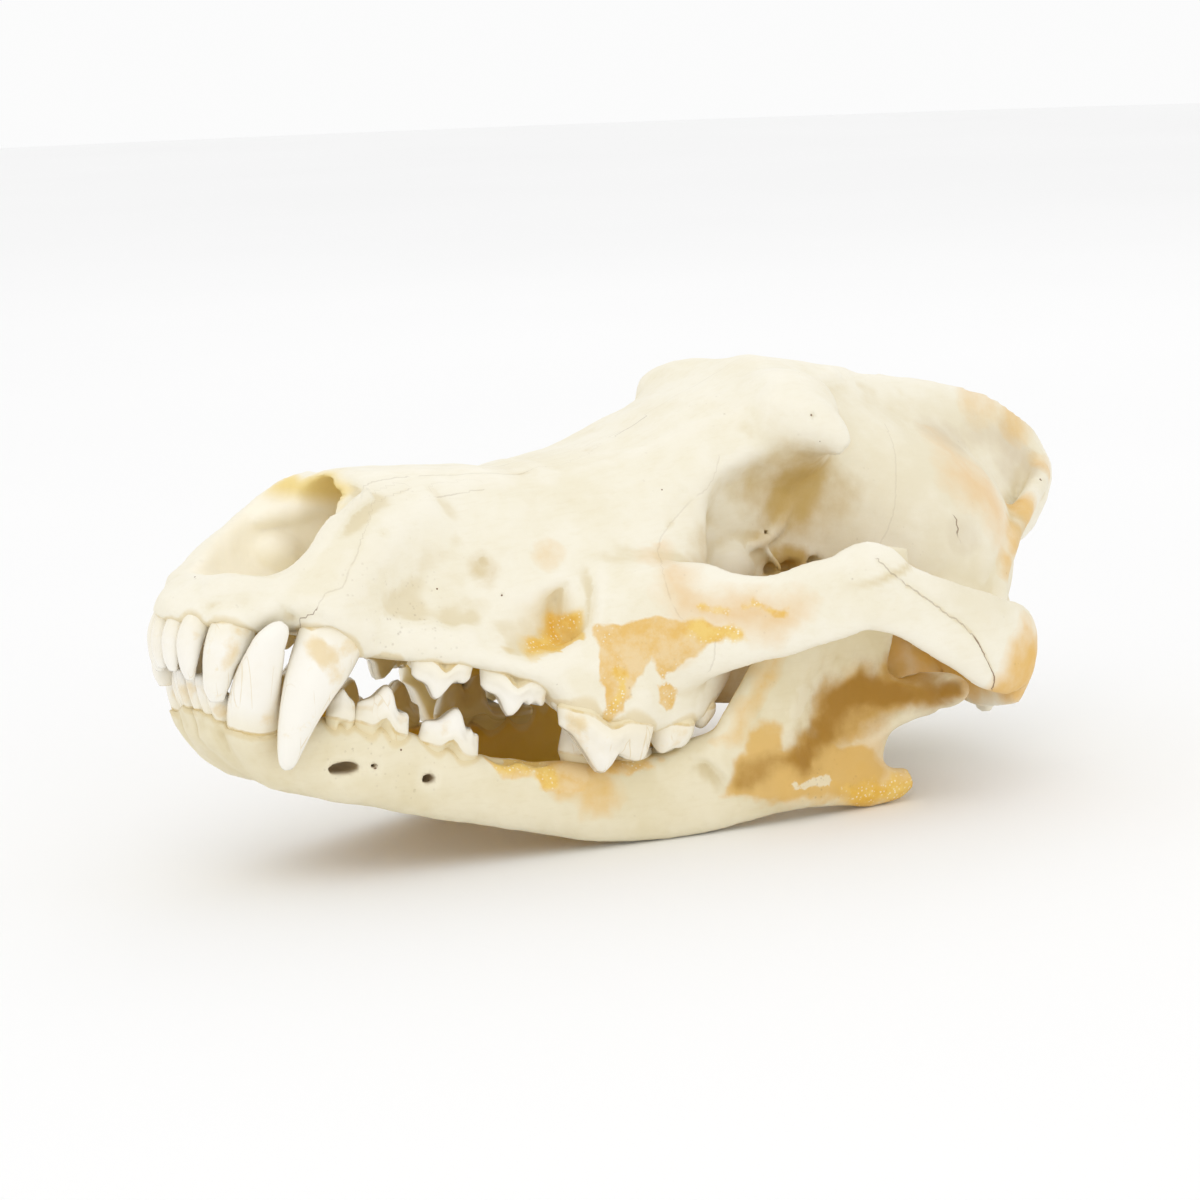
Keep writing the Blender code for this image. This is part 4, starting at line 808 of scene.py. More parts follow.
def patch(points, corners, reach, soft):
    """A stain's strength at each point: one half on the outline, rising inward over soft millimetres."""
    return np.clip(0.5 + inside_outline(points, corners, reach) / (2 * soft), 0, 1)


def spot(points, places):
    """Soft round stains: x, y, z, radius and strength of each."""
    strength = np.zeros(len(points))
    for x, y, z, radius, force in places:
        far = np.linalg.norm(points - (x, y, z), axis=1)
        strength = np.maximum(strength, force * eased_step(1.25, 0.35, far / radius))
    return strength


def streak(points, places, width, reach):
    """A soft band along a line of places x, z seen from the side, over the heights of y that it reaches."""
    far = np.full(len(points), 99.0)
    x, z, y = points[:, 0], points[:, 2], np.abs(points[:, 1])
    for start, end in zip(places[:-1], places[1:]):
        far = np.minimum(far, gap_to(x, z, start, end))
    return np.where((y > reach[0]) & (y < reach[1]), bell(far, width), 0.0)


def wandered(points, seed):
    """The points moved about by soft lumps of two sizes, so that an outline over them isn't straight."""
    wide = [rumple(points, 11, seed + axis) for axis in range(3)]
    small = [rumple(points, 3.6, seed + 3 + axis) for axis in range(3)]
    return points + 1.5 * np.stack(wide, 1) + 0.55 * np.stack(small, 1)


# The outlines of the stains on the left side: x, z of their corners
CHEEK_OCHRE = [(95.0, 14.0), (98.3, 16.6), (103.7, 17.4), (111.4, 18.0), (116.4, 18.6), (122.1, 18.0),
               (123.0, 16.7), (121.1, 14.3), (117.2, 12.4), (114.6, 10.3), (113.2, 7.0), (110.2, 4.8),
               (107.8, 7.6), (106.3, 9.9), (104.7, 4.3), (103.0, -1.6), (101.6, -5.2), (98.5, -7.6),
               (95.9, -4.0), (94.6, 0.6), (94.4, 7.7)]
CHEEK_SPOT = [(109.2, 2.8), (111.4, 4.2), (114, 3.0), (115.4, 0.2), (114.4, -2.6), (112.4, -3.6),
              (109.8, -1.6)]
ARCH_ROSE = [(108.3, 28.9), (112.5, 32.4), (113.2, 30.0), (112.0, 26.3), (115.0, 23.8), (123.9, 25.6),
             (129.5, 25.8), (134.5, 26.2), (134.7, 23.7), (129.4, 18.8), (123.7, 17.3), (117.3, 18.7),
             (112.2, 19.0), (109.0, 21.8), (107.5, 24.9)]
CANAL_OCHRE = [(97.6, 16.1), (98.0, 12.0), (96.5, 9.0), (93.5, 6.0), (85.9, 4.8), (80.1, 5.2), (79.2, 7.2),
               (83.2, 11.0), (86.0, 15.3), (90.4, 16.8)]
FOSSA_BROWN = [(146.0, -13.0), (145.9, -9.0), (151, -7.4), (156.2, -5.3), (155.8, -1.3), (157.6, 6.9),
               (164.3, 10.6), (172.3, 9.6), (174.6, 14.5), (183.0, 10.6), (188.0, 7.0), (180.7, 1.4),
               (174.1, -1.6), (166.6, -6.5), (159.1, -10.4), (152.5, -13.6)]
FOSSA_OCHRE = [(133.6, -17.8), (136.6, -5.3), (144.3, -5.0), (145.7, -8.9), (156.3, -6.2), (164, -7.6),
               (172.0, -6.9), (177, -12.0), (174, -21.9), (167.7, -21.3), (155.6, -21.2), (145.5, -22.0),
               (138.9, -22.2), (132.6, -22.4)]
FOSSA_PALE = [(149.8, -18.8), (152.0, -16.4), (158.5, -15.4), (162.8, -15.9), (161.0, -18.2), (153.0, -19.4)]
CORNER_AMBER = [(163.5, -17.8), (171, -15.4), (176, -16.8), (178.7, -12.4), (183, -13.2), (189, -11.0),
                (189, -20.5), (179.8, -22.0), (171, -22.4), (165.0, -21.6)]
RAMUS_OCHRE = [(128.0, -11), (131.4, -8), (135.5, 3), (139.5, 11.5), (144.0, 19), (141.0, 8.2), (138.6, 3.2),
               (136.6, -1.2), (134.9, -6.1), (132.8, -11.0)]
CASE_AMBER = [(207.3, 69.4), (210.0, 67.0), (213.9, 64.2), (221.8, 61.6), (224.5, 52.8), (220.6, 44.0),
              (217.8, 47.0), (212.8, 52.8), (204.4, 57.0), (201.0, 61.5)]
SOCKET_OCHRE = [(73.5, -18.2), (76.5, -22.4), (80.5, -23.2), (84.5, -22.4), (88.0, -24.6), (92.5, -24.2),
                (97.5, -23.5), (98, -14), (73.5, -14)]
BELOW_OCHRE = [(96.0, -14), (96.5, -19.5), (101.0, -21.8), (108, -20.3), (114.0, -18.5), (117.6, -15),
               (112, -12)]


def cranium_stains(points):
    """The stains over the cranium, each from nought to one. The right side's are fainter and lie a little
    elsewhere. The umber spots are mostly painted shade, in the orbits, at the openings in their floors and on
    the plates behind the tooth row; a few are brown stains."""
    right = points[:, 1] > 0
    side = np.where(right, 0.72, 1.0)
    shift = wandered(points, 5) + np.where(right, 3.0 * rumple(points, 30, 5), 0.0)[:, None]
    ochre = np.maximum(patch(shift, CHEEK_OCHRE, (30, 60), 2.2), patch(shift, CHEEK_SPOT, (34, 60), 2.4))
    vivid = np.maximum(streak(shift, [(114, 16.5), (119, 15.8), (122, 16)], 2.6, (30, 60)),
                       0.8 * streak(shift, [(99, -5), (100.5, 0), (99.5, 4)], 1.8, (30, 60)))
    vivid = np.maximum(vivid, 0.7 * streak(shift, [(114, 22.0), (121.5, 22.4)], 1.1, (30, 62)))
    vivid = np.maximum(vivid, 0.7 * streak(shift, [(124, 23.3), (130, 24.4)], 1.1, (30, 62)))
    vivid = np.maximum(vivid, 0.8 * streak(shift, [(83, 8), (88, 11), (90, 14)], 2.6, (17, 34)))
    canal = 0.9 * patch(shift, CANAL_OCHRE, (17, 34), 3.2) * eased_step(94, 91.5, shift[:, 0])
    rose = np.maximum(0.95 * patch(shift, ARCH_ROSE, (30, 62), 4.5),
                      0.8 * patch(shift, CASE_AMBER, (10, 40), 5.0))
    # Umber spots, mostly painted shade: in the orbits, at the openings in their floors, below the eye and on
    # the plates behind the tooth row; a few are brown stains.
    umber_and_shade = spot(shift, both_ways([
        (158, -22, 52, 14, 0.95), (154, -25, 58, 10, 0.7), (168, -22, 50, 10, 0.45), (146, -22, 52, 9, 0.45),
        (128, -29, 34, 9, 0.4), (163, -19, 32, 7, 1.0), (158, -19, 31, 6, 0.8), (151, -19, 39, 5, 0.45),
        (232, -24, 48, 7, 0.4), (70, -21, 23, 5, 0.3),
        (180, -16, 14, 20, 0.6), (152, -14, 2, 14, 0.6), (140, -30, 4, 8, 0.35), (126, -36, 30, 8, 0.5)]))
    amber = spot(shift, both_ways([
        (191, -33, 19, 14, 0.95), (202, -36, 13, 12, 1.0), (194, -22, 12.5, 10, 0.9),
        (208, -44, 14, 10, 0.9), (200, -66, 17, 12, 0.95),
        (196, -70, 9, 10, 0.9), (204, -60, 14, 10, 0.9), (236, -20, 53, 7, 0.75), (228, -27, 46, 6, 0.7),
        (254, -8, 66, 6, 0.5), (246, -3, 78, 8, 0.5), (223, -31, 40, 5, 0.55), (232, -2, 81, 9, 0.35),
        (112, -41, 12, 6, 0.3), (86, -24, 28, 4, 0.25)]))
    slate = spot(shift, both_ways([
        (242, -5, 70, 7, 0.9), (247, -6, 66, 6, 0.8), (229, -6, 71.8, 6, 0.6), (235, -6, 71, 5, 0.6),
        (211, -13, 69, 8, 0.7), (219, -10, 70, 6, 0.5), (240, -7, 64, 6, 0.5), (206, -31, 46, 6, 0.35)]))
    temple = eased_step(150, 176, points[:, 0]) * eased_step(264, 240, points[:, 0])
    temple = temple * eased_step(82, 74, points[:, 2]) * eased_step(22, 34, points[:, 2])
    pitted = spot(shift, both_ways([(50, -23, 8, 15, 1.0), (38, -22, 16, 10, 0.7), (108, -44, 2, 9, 0.7),
                                    (118, -46, 26, 10, 0.5), (238, -18, 56, 9, 0.7),
                                    (202, -64, 14, 10, 0.8)]))
    return {"ochre": ochre * side, "vivid": vivid * side, "canal": canal * side, "rose": rose * side,
            "umber_and_shade": umber_and_shade, "amber": amber * side, "slate": slate * side, "temple": temple, "pitted": pitted}


def mandible_stains(points, left):
    """The stains over one half of the lower jaw; the right half's are fainter. Its umber streaks are painted
    shade along the ramus, strongest as the cheek arch's shadow just below it; its umber patch lies over the
    muscle hollow.
    """
    strength = 1.0 if left else 0.75
    shift = wandered(points, 8)
    where = shift * (1, 1 if left else -1, 1)
    if not left:
        shift = shift + rumple(points, 26, 8)[:, None] * 3.0
    ochre = vivid = np.zeros(len(points))
    if left:
        ochre = patch(shift, SOCKET_OCHRE, (24, 36), 2.2)
        vivid = 0.9 * streak(shift, [(77, -20), (82, -20.5), (90, -21.5)], 2.4, (24, 36))
    ochre = np.maximum(ochre, 0.85 * patch(shift, BELOW_OCHRE, (26, 40), 3.0))
    vivid = np.maximum(vivid, 0.8 * patch(shift, CORNER_AMBER, (40, 56), 3.0))
    amber = np.maximum(patch(shift, CORNER_AMBER, (40, 56), 3.5),
                       0.62 * patch(shift, RAMUS_OCHRE, (36, 50), 2.0))
    amber = np.maximum(amber, spot(where, [
        (189.5, -58.5, 11, 5, 0.5), (101, -34, -24, 7.5, 0.6), (93, -33, -23, 5, 0.5),
        (80, -28, -19, 4, 0.3)]))
    # Painted shade: umber at the front of the muscle hollow and, strongest, the cheek arch's shadow on the
    # ramus just below it.
    umber_and_shade = streak(shift, [(150, -11.5), (155, -9.5), (160, -4.5), (163, 2)], 4.0, (38, 60))
    umber_and_shade = np.maximum(umber_and_shade, 0.6 * streak(shift, [(137, -17.5), (145, -13), (151, -11)], 3.0, (38, 60)))
    umber_and_shade = np.maximum(umber_and_shade, streak(shift, [(160, -3), (164, 3), (168, 5.5), (177, 6), (184, 8)], 5.2,
                                     (38, 60)))
    umber_and_shade = np.maximum(umber_and_shade, 1.35 * streak(shift, [(161, 3), (167, 5.5), (176, 6.5)], 4.4, (38, 60)))
    umber_and_shade = np.maximum(umber_and_shade, 0.5 * patch(shift, FOSSA_BROWN, (40, 60), 3.0))
    fossa = np.maximum(patch(shift, FOSSA_OCHRE, (38, 60), 2.2),
                       0.9 * patch(shift, FOSSA_BROWN, (40, 60), 4.0))
    pale = np.maximum(patch(shift, FOSSA_PALE, (40, 60), 1.6),
                      0.8 * streak(shift, [(147, -1), (151, 4)], 3.2, (40, 60)))
    return {"ochre": ochre * strength, "vivid": vivid * strength, "canal": fossa * strength,
            "rose": 0.55 * spot(where, [(171, -46, -10, 11, 1.0), (150, -46, -17, 8, 0.8)]) * strength,
            "umber_and_shade": umber_and_shade * strength, "amber": amber * strength, "slate": np.zeros(len(points)),
            "pale": pale, "pitted": spot(where, [(60, -26, -22, 12, 0.6), (45, -22, -20, 9, 0.6),
                                                 (160, -46, -14, 14, 0.6)])}


# Shader nodes
class Tree:
    """Adds nodes to a node tree. Each call takes numbers, colours or outputs, and gives the new output."""

    def __init__(self, tree):
        """Keeps the tree's nodes and links at hand."""
        self.nodes, self.links = tree.nodes, tree.links

    def put(self, socket, value):
        """Links an output to the socket, or sets a value on it."""
        if isinstance(value, bpy.types.NodeSocket):
            self.links.new(value, socket)
        elif socket.type == "RGBA" and len(value) == 3:
            socket.default_value = (*value, 1.0)
        else:
            socket.default_value = value

    def node(self, kind, inputs=(), **settings):
        """A node of the kind, with its settings and its inputs by name."""
        made = self.nodes.new(kind)
        for name, value in settings.items():
            setattr(made, name, value)
        for name, value in dict(inputs).items():
            self.put(made.inputs[name], value)
        return made

    def sum_of(self, operation, *values):
        """The result of one sum over the values."""
        made = self.node("ShaderNodeMath", operation=operation)
        for socket, value in zip(made.inputs, values):
            self.put(socket, value)
        return made.outputs[0]

    def step(self, value, low, high, to_low=0.0, to_high=1.0):
        """A smooth step from to_low, where the value is low, to to_high."""
        inputs = {"Value": value, "From Min": low, "From Max": high, "To Min": to_low, "To Max": to_high}
        made = self.node("ShaderNodeMapRange", inputs, interpolation_type="SMOOTHSTEP")
        return made.outputs["Result"]

    def blend(self, share, first, second):
        """The first colour with a share of the second over it."""
        made = self.node("ShaderNodeMix", data_type="RGBA", blend_type="MIX")
        self.put(made.inputs[0], share)
        self.put(made.inputs[6], first)
        self.put(made.inputs[7], second)
        return made.outputs[2]

    def noise(self, place, size, detail=3.0, rough=0.55):
        """Soft lumps of about the given size in metres, from 0 to 1."""
        inputs = {"Vector": place, "Scale": 1 / size, "Detail": detail, "Roughness": rough}
        return self.node("ShaderNodeTexNoise", inputs).outputs["Fac"]

    def cells(self, place, size, feature="F1"):
        """The distance from the middle of the nearest of many cells, or from its edge."""
        inputs = {"Vector": place, "Scale": 1 / size}
        return self.node("ShaderNodeTexVoronoi", inputs, feature=feature).outputs["Distance"]

    def stretched(self, place, scale, turn=(0.0, 0.0, 0.0)):
        """The place turned and scaled, so that a pattern on it is drawn out."""
        inputs = {"Vector": place, "Scale": scale, "Rotation": turn}
        return self.node("ShaderNodeMapping", inputs).outputs["Vector"]

    def attribute(self, name):
        """One of the piece's masks."""
        return self.node("ShaderNodeAttribute", attribute_name=name).outputs["Fac"]


def group(name, inputs, outputs):
    """An empty node group with named inputs (name: kind, value) and outputs (name: kind)."""
    tree = bpy.data.node_groups.new(name, "ShaderNodeTree")
    for socket, (kind, value) in inputs.items():
        made = tree.interface.new_socket(socket, in_out="INPUT", socket_type="NodeSocket" + kind)
        if value is not None:
            made.default_value = value
    for socket, kind in outputs.items():
        tree.interface.new_socket(socket, in_out="OUTPUT", socket_type="NodeSocket" + kind)
    return tree, tree.nodes.new("NodeGroupInput").outputs, tree.nodes.new("NodeGroupOutput").inputs


def use(t, tree, inputs):
    """Places a node group in a tree and gives its outputs."""
    made = t.node("ShaderNodeGroup", node_tree=tree)
    for name, value in inputs.items():
        t.put(made.inputs[name], value)
    return made.outputs


def ragged_stain_group():
    """A stain's strength with its edge broken up: noise is added before a smooth threshold."""
    tree, given, out = group(
        "ragged stain",
        {"Place": ("Vector", None), "Strength": ("Float", 0.0), "Ragged": ("Float", 0.3),
         "Lump Size": ("Float", 0.004), "Softness": ("Float", 0.2)},
        {"Mask": "Float"})
    t = Tree(tree)
    noise = t.node("ShaderNodeTexNoise", {
        "Vector": given["Place"], "Scale": t.sum_of("DIVIDE", 1.0, given["Lump Size"]), "Detail": 5.0,
        "Roughness": 0.62}).outputs["Fac"]
    moved = t.sum_of("MULTIPLY", t.sum_of("SUBTRACT", noise, 0.5), given["Ragged"])
    strength = t.sum_of("ADD", given["Strength"], moved)
    low = t.sum_of("SUBTRACT", 0.5, given["Softness"])
    high = t.sum_of("ADD", 0.5, given["Softness"])
    edge = t.step(strength, low, high)
    present = t.step(given["Strength"], 0.0, 0.12)
    t.put(out["Mask"], t.sum_of("MULTIPLY", edge, present))
    return tree


def fine_line_group():
    """A thin line where the distance is nought, wavering and breaking off in places."""
    tree, given, out = group(
        "fine line",
        {"Place": ("Vector", None), "Distance": ("Float", 9.0), "Past End": ("Float", 9.0),
         "Force": ("Float", 1.0), "Half Width": ("Float", 0.13), "Waver": ("Float", 0.8),
         "Break": ("Float", 0.42)},
        {"Mask": "Float"})
    t = Tree(tree)
    waver = t.noise(given["Place"], 0.0021, 4.0, 0.7)
    shift = t.sum_of("MULTIPLY", t.sum_of("SUBTRACT", waver, 0.5), given["Waver"])
    off = t.sum_of("ABSOLUTE", t.sum_of("ADD", given["Distance"], shift))
    wide = t.sum_of("MULTIPLY", given["Half Width"], 2.2)
    line = t.sum_of("SUBTRACT", 1.0, t.step(off, given["Half Width"], wide))
    broken = t.step(t.noise(given["Place"], 0.0062, 2.0), t.sum_of("SUBTRACT", given["Break"], 0.12),
                    given["Break"])
    kept = t.sum_of("SUBTRACT", 1.0, t.step(given["Past End"], 0.0, 1.2))
    line = t.sum_of("MULTIPLY", t.sum_of("MULTIPLY", line, broken), kept)
    t.put(out["Mask"], t.sum_of("MULTIPLY", line, given["Force"]))
    return tree


def pin_hole_group():
    """A small round hole in the bone: 1 within its radius of the centre, with a soft ragged edge."""
    tree, given, out = group(
        "pin hole",
        {"Place": ("Vector", None), "Centre": ("Vector", None), "Radius": ("Float", 0.0005)},
        {"Mask": "Float"})
    t = Tree(tree)
    gap = t.node("ShaderNodeVectorMath", operation="DISTANCE")
    t.put(gap.inputs[0], given["Place"])
    t.put(gap.inputs[1], given["Centre"])
    share = t.sum_of("DIVIDE", gap.outputs["Value"], given["Radius"])
    waver = t.sum_of("MULTIPLY", t.sum_of("SUBTRACT", t.noise(given["Place"], 0.0008), 0.5), 0.8)
    ragged = t.sum_of("ADD", share, waver)
    t.put(out["Mask"], t.sum_of("SUBTRACT", 1.0, t.step(ragged, 0.6, 1.15)))
    return tree


def bone_grain_group():
    """The fine surface of dry bone: drawn-out grain, pores and cloudy tone, with a height for the bump."""
    tree, given, out = group(
        "bone grain",
        {"Place": ("Vector", None), "Pore Amount": ("Float", 0.3)},
        {"Height": "Float", "Cloud": "Float", "Pores": "Float", "Streak": "Float"})
    t = Tree(tree)
    drawn = t.stretched(given["Place"], (0.16, 1.0, 1.0), (0.0, 0.22, 0.0))
    streak = t.noise(drawn, 0.0011, 4.0, 0.6)
    cloud = t.noise(given["Place"], 0.022, 5.0, 0.6)
    pits = t.cells(given["Place"], 0.0016)
    where = t.noise(given["Place"], 0.0085, 3.0, 0.6)
    rare = t.step(where, t.sum_of("SUBTRACT", 0.78, given["Pore Amount"]), 0.8)
    pore = t.sum_of("SUBTRACT", 1.0, t.step(pits, 0.10, 0.26))
    pores = t.sum_of("MULTIPLY", pore, rare)
    fine = t.noise(given["Place"], 0.0006, 3.0, 0.6)
    height = t.sum_of("ADD", t.sum_of("MULTIPLY", streak, 0.5), t.sum_of("MULTIPLY", fine, 0.35))
    height = t.sum_of("SUBTRACT", height, t.sum_of("MULTIPLY", pores, 1.1))
    for name, value in (("Height", height), ("Cloud", cloud), ("Pores", pores), ("Streak", streak)):
        t.put(out[name], value)
    return tree


def porous_bone_group():
    """Open spongy bone where the skin of it is lost: an ochre ground, dark cells and pale sugary grains."""
    tree, given, out = group(
        "porous bone",
        {"Place": ("Vector", None), "Ground": ("Color", (0.7, 0.5, 0.2, 1)),
         "Deep": ("Color", (0.5, 0.25, 0.04, 1)),
         "Grain": ("Color", (0.95, 0.88, 0.68, 1)), "Grain Share": ("Float", 0.0)},
        {"Colour": "Color", "Height": "Float"})
    t = Tree(tree)
    lumps = t.cells(given["Place"], 0.0009)
    lumps_wide = t.cells(given["Place"], 0.0026)
    tone = t.noise(given["Place"], 0.006, 4.0, 0.65)
    where = t.noise(given["Place"], 0.0095, 2.0, 0.5)
    colour = t.blend(t.step(tone, 0.36, 0.68), given["Ground"], given["Deep"])
    grain = t.sum_of("SUBTRACT", 1.0, t.step(lumps, 0.12, 0.36))
    grains = t.sum_of("MULTIPLY", grain, t.step(t.sum_of("ADD", where, given["Grain Share"]), 0.50, 0.62))
    holes = t.sum_of("MULTIPLY", t.step(lumps_wide, 0.42, 0.62), t.step(where, 0.42, 0.6))
    colour = t.blend(t.sum_of("MULTIPLY", holes, 0.5), colour, given["Deep"])
    colour = t.blend(t.sum_of("MULTIPLY", grains, 0.8), colour, given["Grain"])
    height = t.sum_of("SUBTRACT", t.sum_of("MULTIPLY", grains, 0.7), t.sum_of("MULTIPLY", holes, 0.6))
    height = t.sum_of("ADD", height, t.sum_of("MULTIPLY", t.noise(given["Place"], 0.0009, 3.0, 0.7), 0.8))
    t.put(out["Colour"], colour)
    t.put(out["Height"], height)
    return tree


# Pieces
def at_rest(points):
    """Places in the skull's own frame, in mm, as metres where the skull lies."""
    tipped = np.array(Matrix.Rotation(math.radians(REST_PITCH), 3, "Y"))
    return (np.asarray(points, float) @ tipped.T + REST_PLACE) * MM


def piece(name, points, faces, masks, look, node=None):
    """Makes one mesh object, keeps its masks as point attributes, and has it ride on the skull."""
    mesh = bpy.data.meshes.new(name)
    mesh.from_pydata(at_rest(points).tolist(), [], faces)
    mesh.update()
    for mask, values in masks.items():
        mesh.attributes.new(mask, "FLOAT", "POINT").data.foreach_set("value", values.astype(np.float32))
    mesh.materials.append(look)
    mesh.shade_smooth()
    made = bpy.data.objects.new(name, mesh)
    bpy.context.scene.collection.objects.link(made)
    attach(made, "root")
    if node:
        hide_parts(node)
    return made


def seam_masks(points, skyward, lines):
    """Signed distance to the nearest of the lines, how far past its end the point lies, and its strength."""
    off, past, strength = np.full(len(points), 99.0), np.full(len(points), 99.0), np.zeros(len(points))
    for line, force in lines:
        here, beyond = beside(points, skyward, traced(line), 5.0)
        closer = np.abs(here) + 2 * beyond < np.abs(off) + 2 * past
        off, past = np.where(closer, here, off), np.where(closer, beyond, past)
        strength = np.where(closer, force, strength)
    return np.clip(off, -9, 9), np.clip(past, 0, 9), strength


def carved(points, quads, grooves, swells, wells, seed):
    """Moves the skin along its outward direction: soft lumps, then each groove, raised line and pit."""
    skyward = outward(points, quads)
    lift = 0.16 * rumple(points, 16, seed) + 0.07 * rumple(points, 6.0, seed + 1)
    lift += 0.035 * rumple(points, 2.6, seed + 2)
    for line, depth, width in grooves:
        off, past = beside(points, skyward, traced(line), 4 * width)
        lift -= depth * bell(off, width) * eased_step(1.5, 0.0, past)
    for line, height, width in swells:
        off, past = beside(points, skyward, traced(line), 3 * width)
        lift += height * bell(off, width) * bell(past, width)
    for x, y, z, radius, depth in wells:
        lift -= depth * bell(np.linalg.norm(points - (x, y, z), axis=1), radius * 0.8)
    return points + skyward * lift[:, None]


def hollowness(points, quads, skyward, rounds, scale):
    """How far the skin lies below its own evened-out form, 1 at scale millimetres."""
    return np.clip(((evened(points, quads, rounds) - points) * skyward).sum(1) / scale, -1, 1)


# Lines and their depth or height and width; pits: x, y, z, radius and depth; holes: x, y, z and radius
GROOVES = [(JUGAL_SEAM, 0.45, 0.8), (NASAL_SEAM, 0.18, 0.9), (SNOUT_SEAM, 0.22, 0.8), (TEAR_SEAM, 0.14, 0.9),
           (TEMPLE_SEAM, 0.12, 0.9)]
SWELLS = [
    ([(62, -12.2, 42.2), (80, -13, 44.2), (98.4, -13.9, 48.6), (111.4, -15.1, 53.7), (124.1, -16.8, 60.6),
      (133.3, -18.5, 66.0), (142.5, -25.8, 72.6), (150, -30, 71)], 0.7, 3.0),
    ([(158, -33, 65.5), (160, -26, 71), (163, -18, 76), (170, -10, 79.5), (180, -4.5, 81.5)], 1.3, 2.4),
    ([(150.5, -64.8, 39.5), (158, -67.0, 35.6), (166, -68.6, 32), (176, -69.6, 27.5)], 0.35, 1.6),
    ([(54, -24.4, 3.0), (56, -24.0, 9), (58, -22, 15)], 0.5, 2.6),
    ([(64, -26.4, 3.2), (65, -25.4, 9)], 0.45, 2.4),
    ([(71.5, -27.5, 2.5), (72.5, -26.5, 8)], 0.4, 2.4), ([(82, -31.0, 1.5), (83, -29.5, 7)], 0.4, 2.4),
    ([(92.5, -36.0, -5), (94, -35.6, 2), (95, -34.5, 9)], 0.7, 3.0),
    ([(105, -41, -7), (106, -41, 0)], 0.6, 3.2),
    ([(200, -31, 40), (207, -30.5, 37), (214, -31.5, 34)], 0.4, 2.0),
    ([(188, -30, 30), (198, -35, 29), (208, -38, 28)], 0.5, 2.2),
    ([(26, -22.5, 10), (31, -22.6, 14), (38, -20.5, 20), (46, -17.5, 27)], 0.5, 3.4)]
WELLS = [(150.4, -33.0, 69.8, 0.9, 0.9), (119.8, -27.0, 48.1, 0.8, 0.6), (70.0, -20.8, 25.9, 1.1, 0.7),
         (43.0, -19.7, 29.5, 1.7, 0.6), (67.5, -22.4, 12.6, 1.6, 0.4), (74.2, -23.9, 18.4, 0.7, 0.5),
         (247.6, -12.7, 62.3, 1.0, 0.7), (85.4, -34.7, 0.1, 0.8, 0.4), (69, -21.2, 23.2, 3.2, 0.5),
         (153, -33.6, 65.0, 0.9, 0.5)]
PIN_HOLES = [(150.4, -33.0, 69.8, 0.4), (119.8, -27.0, 48.1, 0.29), (114.5, -25.4, 47.2, 0.22),
             (70.0, -20.8, 25.9, 0.43), (74.2, -23.9, 18.4, 0.29), (67.5, -22.4, 12.6, 0.36),
             (85.4, -34.7, 0.1, 0.36), (6.2, -1.7, 14.0, 0.25), (7.7, -11.7, 9.3, 0.22),
             (247.6, -12.7, 62.3, 0.5), (153.4, -33.8, 63.9, 0.22), (58.6, -20.3, 18.1, 0.22)]
JAW_PIN_HOLES = [(46.9, -22.8, -23.2, 0.7), (60.5, -24.2, -25.0, 1.0), (47.7, -21.9, -14.3, 0.35),
                 (50.2, -22.5, -17.5, 0.3), (52.8, -23.5, -19.0, 0.3)]


def make_cranium(look):
    """The cranium's bone: its surface from the distances, carved, with the masks that its look reads."""
    field = Field(CRANIUM_BOX, CRANIUM_CELL)
    values, hollows = cranium_bone(field)
    points, quads = field.surface(values)
    seams = on_both_sides([
        (JUGAL_SEAM[:7], 0.4), (JUGAL_SEAM[6:], 0.95), (NASAL_SEAM, 0.2), (SNOUT_SEAM[:4], 0.75),
        (SNOUT_SEAM[3:], 0.16), (TEAR_SEAM, 0.13), (CHEEK_SEAM, 0.16), (TEMPLE_SEAM, 0.12)])
    seams += [(CROWN_SEAM, 0.12), (SNOUT_TOP_SEAM, 0.14), (FINE_CRACK, 0.8), (BROW_CRACK, 0.3),
              (SNOUT_CRACK, 0.25)]
    grooves = [(line, *cutting) for rows, *cutting in GROOVES for line in (rows, mirrored(rows))]
    swells = [(line, *form) for rows, *form in SWELLS for line in (rows, mirrored(rows))]
    bare = points
    points = carved(points, quads, grooves, swells, WELLS + mirrored(WELLS), 3)
    skyward = outward(points, quads)
    masks = cranium_stains(points)
    masks["seam"], masks["seam_end"], masks["seam_force"] = seam_masks(points, skyward, seams)
    # The hollow mask: above nought it sets painted shade, below nought a painted highlight.
    masks["hollow"] = hollowness(points, quads, skyward, 10, 0.35)
    for name, reach in (("nose", 2.6), ("mouth", 3.0)):
        masks[name] = eased_step(reach, 0.3, field.read(hollows[name], bare))
    # Painted shade: the mouth mask keeps the downward faces by the palate and throat.
    masks["mouth"] = masks["mouth"] * eased_step(0.2, -0.5, skyward[:, 2])
    # nose_deep marks the nose high up and far in, for its painted shade.
    high_or_far_in = np.maximum(eased_step(31.5, 36.5, bare[:, 2]), eased_step(43, 53, bare[:, 0]))
    masks["nose_deep"] = masks["nose"] * high_or_far_in
    # The orbit mask: its wall, growing towards the back, for painted shade.
    masks["orbit"] = eased_step(1.5, 0.2, np.abs(field.read(hollows["orbit"], bare)))
    masks["orbit"] *= eased_step(138, 154, bare[:, 0])
    masks["gum"] = eased_step(1.8, 0.3, field.read(hollows["teeth"], bare))
    return piece("cranium_bone", points, quads.tolist(), masks, look, "cranium")


